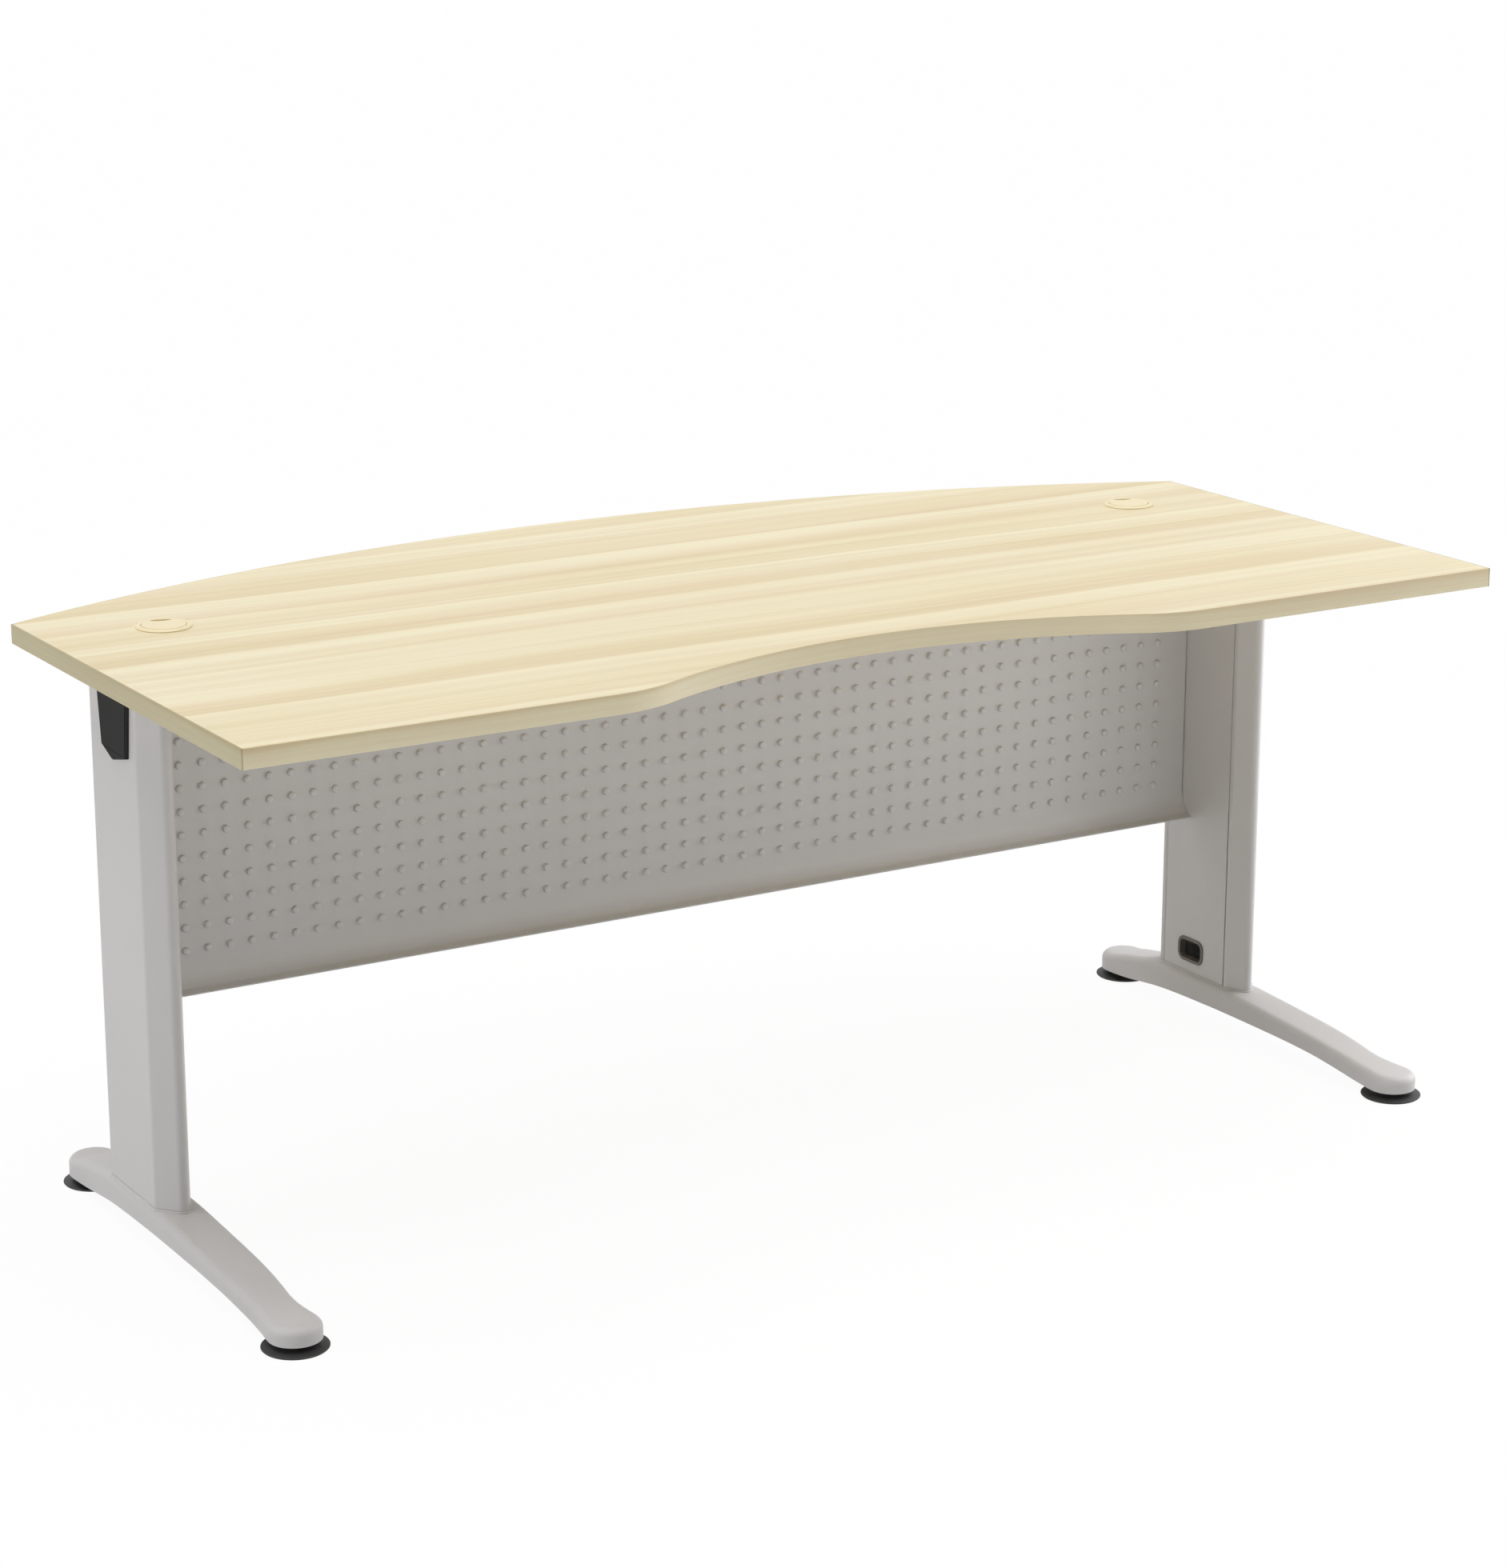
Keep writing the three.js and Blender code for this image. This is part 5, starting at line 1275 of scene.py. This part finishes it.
field_end = PITCH * COLUMNS / 2
field_low, field_high = FIRST_ROW - PITCH / 2, FIRST_ROW + PITCH * (ROWS - 0.5)
fold_x = PANEL_END - PANEL_FOLD
fold_y = PANEL_Y + PANEL_FOLD
fold_z = PANEL_TOP - PANEL_FOLD
for side in (-1, 1):
    edges = border(bm, lambda co: side * co.x > field_end - NEAR)
    pull(bm, edges, (side * (fold_x - field_end), 0, 0))
low = pull(bm, border(bm, lambda co: co.z < field_low + NEAR), (0, 0, ROLL_TOP - field_low))
high = pull(bm, border(bm, lambda co: co.z > field_high - NEAR), (0, 0, fold_z - field_high))
for side in (-1, 1):
    edges = border(bm, lambda co: side * co.x > fold_x - NEAR)
    edges = swing(bm, edges, (side * fold_x, fold_y, 0), side * 90, 8)
    pull(bm, edges, (0, PANEL_FLANGE - PANEL_FOLD, 0))
low = swing(bm, low, (0, PANEL_Y - ROLL_RADIUS, ROLL_TOP), -ROLL_DEGREES, 10, (1, 0, 0))
lean = math.radians(LIP_DEGREES)
pull(bm, low, (0, -PANEL_LIP * math.sin(lean), -PANEL_LIP * math.cos(lean)))
for side in (-1, 1):
    ends = border(bm, lambda co: abs(co.x - side * fold_x) < DOUBLES and co.z < ROLL_TOP + DOUBLES)
    pull(bm, ends, (side * PANEL_FOLD, 0, 0))
high = swing(bm, high, (0, fold_y, fold_z), -90, 5, (1, 0, 0))
pull(bm, high, (0, PANEL_RETURN, 0))
settle_faces(bm)
thicken(bm, PANEL_SHEET, (0, -1, 0))
finish_piece("bumped_panel", bm, grey_powder, "frame", ["modesty_panel"], crease=38,
             settle=False)

# %% [markdown]
# ## Levelling glides
# Each toe stands on a black plastic disc, held by a steel stud that screws into the toe. The disc
# is a low cone with a rounded rim and a socket for the stud's ball. The stud is a ball, a
# hexagon for the spanner and a threaded shank, all turned. The hexagon is a spin of six steps,
# and the thread is a row of rings, because at this size nobody can tell rings from a helix.

# %% Turn the glides and studs
GLIDE_RADIUS = 0.041
STUD_RADIUS = 0.004
STUD_TOP = 0.0305
DISC_PROFILE = [(0, 0), (GLIDE_RADIUS - 0.0015, 0), (GLIDE_RADIUS, 0.0015), (GLIDE_RADIUS, 0.003),
                (0.015, 0.008), (0.008, 0.008), (0.008, 0.004), (0, 0.004)]
DISC_ROUNDINGS = [0, 0.0008, 0.0008, 0.0008, 0.003, 0.0008, 0.001, 0]
BALL_PROFILE = [(0, 0.0043), (0.0075, 0.0043), (0.0075, 0.0075), (0.0038, 0.0081), (0, 0.0081)]
BALL_ROUNDINGS = [0, 0.0015, 0.0015, 0, 0]
HEXAGON_PROFILE = [(0, 0.0083), (0.0066, 0.0083), (0.0075, 0.0088), (0.0075, 0.0112),
                   (0.0066, 0.0117), (0, 0.0117)]
THREAD_PITCH = 0.00125
THREAD_DEPTH = 0.0005
THREAD_START = 0.0121
THREADS = 14

shank_profile = [(0, 0.0082), (0.0036, 0.0082)]
for n in range(THREADS):
    root = THREAD_START + n * THREAD_PITCH
    shank_profile += [(STUD_RADIUS - THREAD_DEPTH, root), (STUD_RADIUS, root + THREAD_PITCH / 2)]
shank_profile += [(STUD_RADIUS - 0.0006, STUD_TOP), (0, STUD_TOP)]
print("points in the shank's profile", len(shank_profile))

for name, side in SIDES.items():
    for end, (y, _) in GLIDE_PLACES.items():
        place = Matrix.Translation((side * LEG_X, y, 0))
        bm = bmesh.new()
        turn(bm, DISC_PROFILE, DISC_ROUNDINGS, 72, place, rounding=4)
        finish_piece(f"{name}_{end}_disc", bm, glide_plastic,
                     f"{name}_{end}_glide", [f"{name}_{end}_glide_disc"])

        bm = bmesh.new()
        turn(bm, BALL_PROFILE, BALL_ROUNDINGS, 32, place)
        turn(bm, shank_profile, 0, 24, place)
        turn(bm, HEXAGON_PROFILE, 0, 6, place)
        finish_piece(f"{name}_{end}_stud_screw", bm, zinc_plate,
                     f"{name}_{end}_stud", [f"{name}_{end}_glide_stud"], crease=28)

# %% [markdown]
# ## Bolts and screws
# Every fastener is a round head with a hexagon socket. The profile runs from the floor of the
# socket over the head and down the shank. After the spin, the rings that bound the socket are
# pulled in to a hexagon, which turns the round hole into one for a key.

# %% Helper for a socket-head fastener
# Each kind has its radius, its head's radius and height, and its socket's radius.
FOOT_BOLT = (0.005, 0.0085, 0.0055, 0.0046)
BEARER_BOLT = (0.004, 0.007, 0.0045, 0.0036)
TOP_SCREW = (0.0022, 0.0045, 0.0028, 0.0022)
PANEL_BOLT = (0.003, 0.0055, 0.0033, 0.0028)
SOCKET_FLOOR = 0.45
HALF_FLAT = math.radians(30)


def add_fastener(name, node, place, kind, length):
    """A fastener along +Z of its place, with its seat at 0 and its head below it."""
    shank, head_radius, head, socket = kind
    bm = bmesh.new()
    floor_of_socket = -head * SOCKET_FLOOR
    profile = [(0, floor_of_socket), (socket, floor_of_socket), (socket, -head),
               (head_radius, -head), (head_radius, 0), (shank, 0), (shank, length), (0, length)]
    turn(bm, profile, [0, 0, 0.0002, head * 0.3, head * 0.12, shank * 0.15, shank * 0.3, 0], 24)
    for vertex in bm.verts:
        across = vertex.co.xy.length
        if DOUBLES < across < socket + DOUBLES and vertex.co.z < floor_of_socket + DOUBLES:
            turned_by = math.atan2(vertex.co.y, vertex.co.x) % (2 * HALF_FLAT) - HALF_FLAT
            vertex.co.xy *= math.cos(HALF_FLAT) / math.cos(turned_by)
    bmesh.ops.transform(bm, matrix=place, verts=bm.verts[:])
    finish_piece(name, bm, zinc_plate, "frame", [node], crease=30)


# %% Place the bolts and screws
BEARER_BOLT_REACH = 0.045
TOP_SCREW_MARGIN = 0.075
TOP_SCREW_BITE = 0.017
PANEL_BOLT_MARGIN = 0.045
PANEL_BOLT_INSET = 0.016
PANEL_BOLT_LENGTH = 0.014
BASE_PLATE = 0.005
TOP_PLATE = 0.004
FOOT_BOLT_TAIL = 0.003
BEARER_BOLT_TAIL = 0.006

foot_seat = BOLT_BOSS_BOTTOM - SEAT_GAP
foot_tip = UPRIGHT_BOTTOM + BASE_PLATE + FOOT_BOLT_TAIL
bearer_seat = BEARER_BOTTOM + BEARER_SHEET + SEAT_GAP
bearer_tip = UPRIGHT_TOP - TOP_PLATE - BEARER_BOLT_TAIL
screw_seat = UNDERSIDE - SEAT_GAP - BEARER_SHEET - SEAT_GAP
screw_length = UNDERSIDE + TOP_SCREW_BITE - screw_seat
panel_seat = LEG_X + INNER_FACE - 2 * SEAT_GAP - PANEL_SHEET
panel_low = PANEL_BOTTOM + PANEL_BOLT_MARGIN + ROLL_RADIUS / 2
panel_high = PANEL_TOP - PANEL_BOLT_MARGIN
head_down = Matrix.Rotation(math.radians(180), 4, "X")
screw_places = {"front": BEARER_FRONT + TOP_SCREW_MARGIN,
                "rear": BEARER_FRONT + BEARER_LENGTH - TOP_SCREW_MARGIN}

for name, side in SIDES.items():
    for end, way in (("front", -1), ("rear", 1)):
        y = UPRIGHT_MIDDLE + way * FOOT_BOLT_REACH
        add_fastener(f"{name}_{end}_foot_screw", f"{name}_foot_bolt_{end}",
                     Matrix.Translation((side * LEG_X, y, foot_seat)), FOOT_BOLT,
                     foot_tip - foot_seat)
        y = UPRIGHT_MIDDLE + way * BEARER_BOLT_REACH
        add_fastener(f"{name}_{end}_bearer_screw", f"{name}_bearer_bolt_{end}",
                     Matrix.Translation((side * LEG_X, y, bearer_seat)) @ head_down, BEARER_BOLT,
                     bearer_seat - bearer_tip)
        for reach, out in (("inner", -1), ("outer", 1)):
            x = side * (LEG_X + out * (BEARER_WEB + BEARER_LIP) / 2)
            add_fastener(f"{name}_{end}_{reach}_top_fixing", f"{name}_top_screw_{end}_{reach}",
                         Matrix.Translation((x, screw_places[end], screw_seat)), TOP_SCREW,
                         screw_length)
    outward = Matrix.Rotation(math.radians(side * 90), 4, "Y")
    for n, level in enumerate(("low", "middle", "high")):
        z = panel_low + n * (panel_high - panel_low) / 2
        place = Matrix.Translation((side * panel_seat, PANEL_Y + PANEL_BOLT_INSET, z)) @ outward
        add_fastener(f"{name}_{level}_panel_screw", f"{name}_panel_bolt_{level}", place,
                     PANEL_BOLT, PANEL_BOLT_LENGTH)

# %% [markdown]
# ## Plates inside the legs
# The plates in the top and bottom of each upright, and the one that the panel is bolted to, are
# hidden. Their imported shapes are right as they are, so they only get the finish.

# %% Finish the hidden plates
kept_plates = [f"{name}_{piece}" for name in SIDES
               for piece in ("base_plate", "top_plate", "panel_bracket")]
for plate in kept_plates:
    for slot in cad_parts[plate].material_slots:
        slot.material = grey_powder
print("kept as packed", kept_plates)
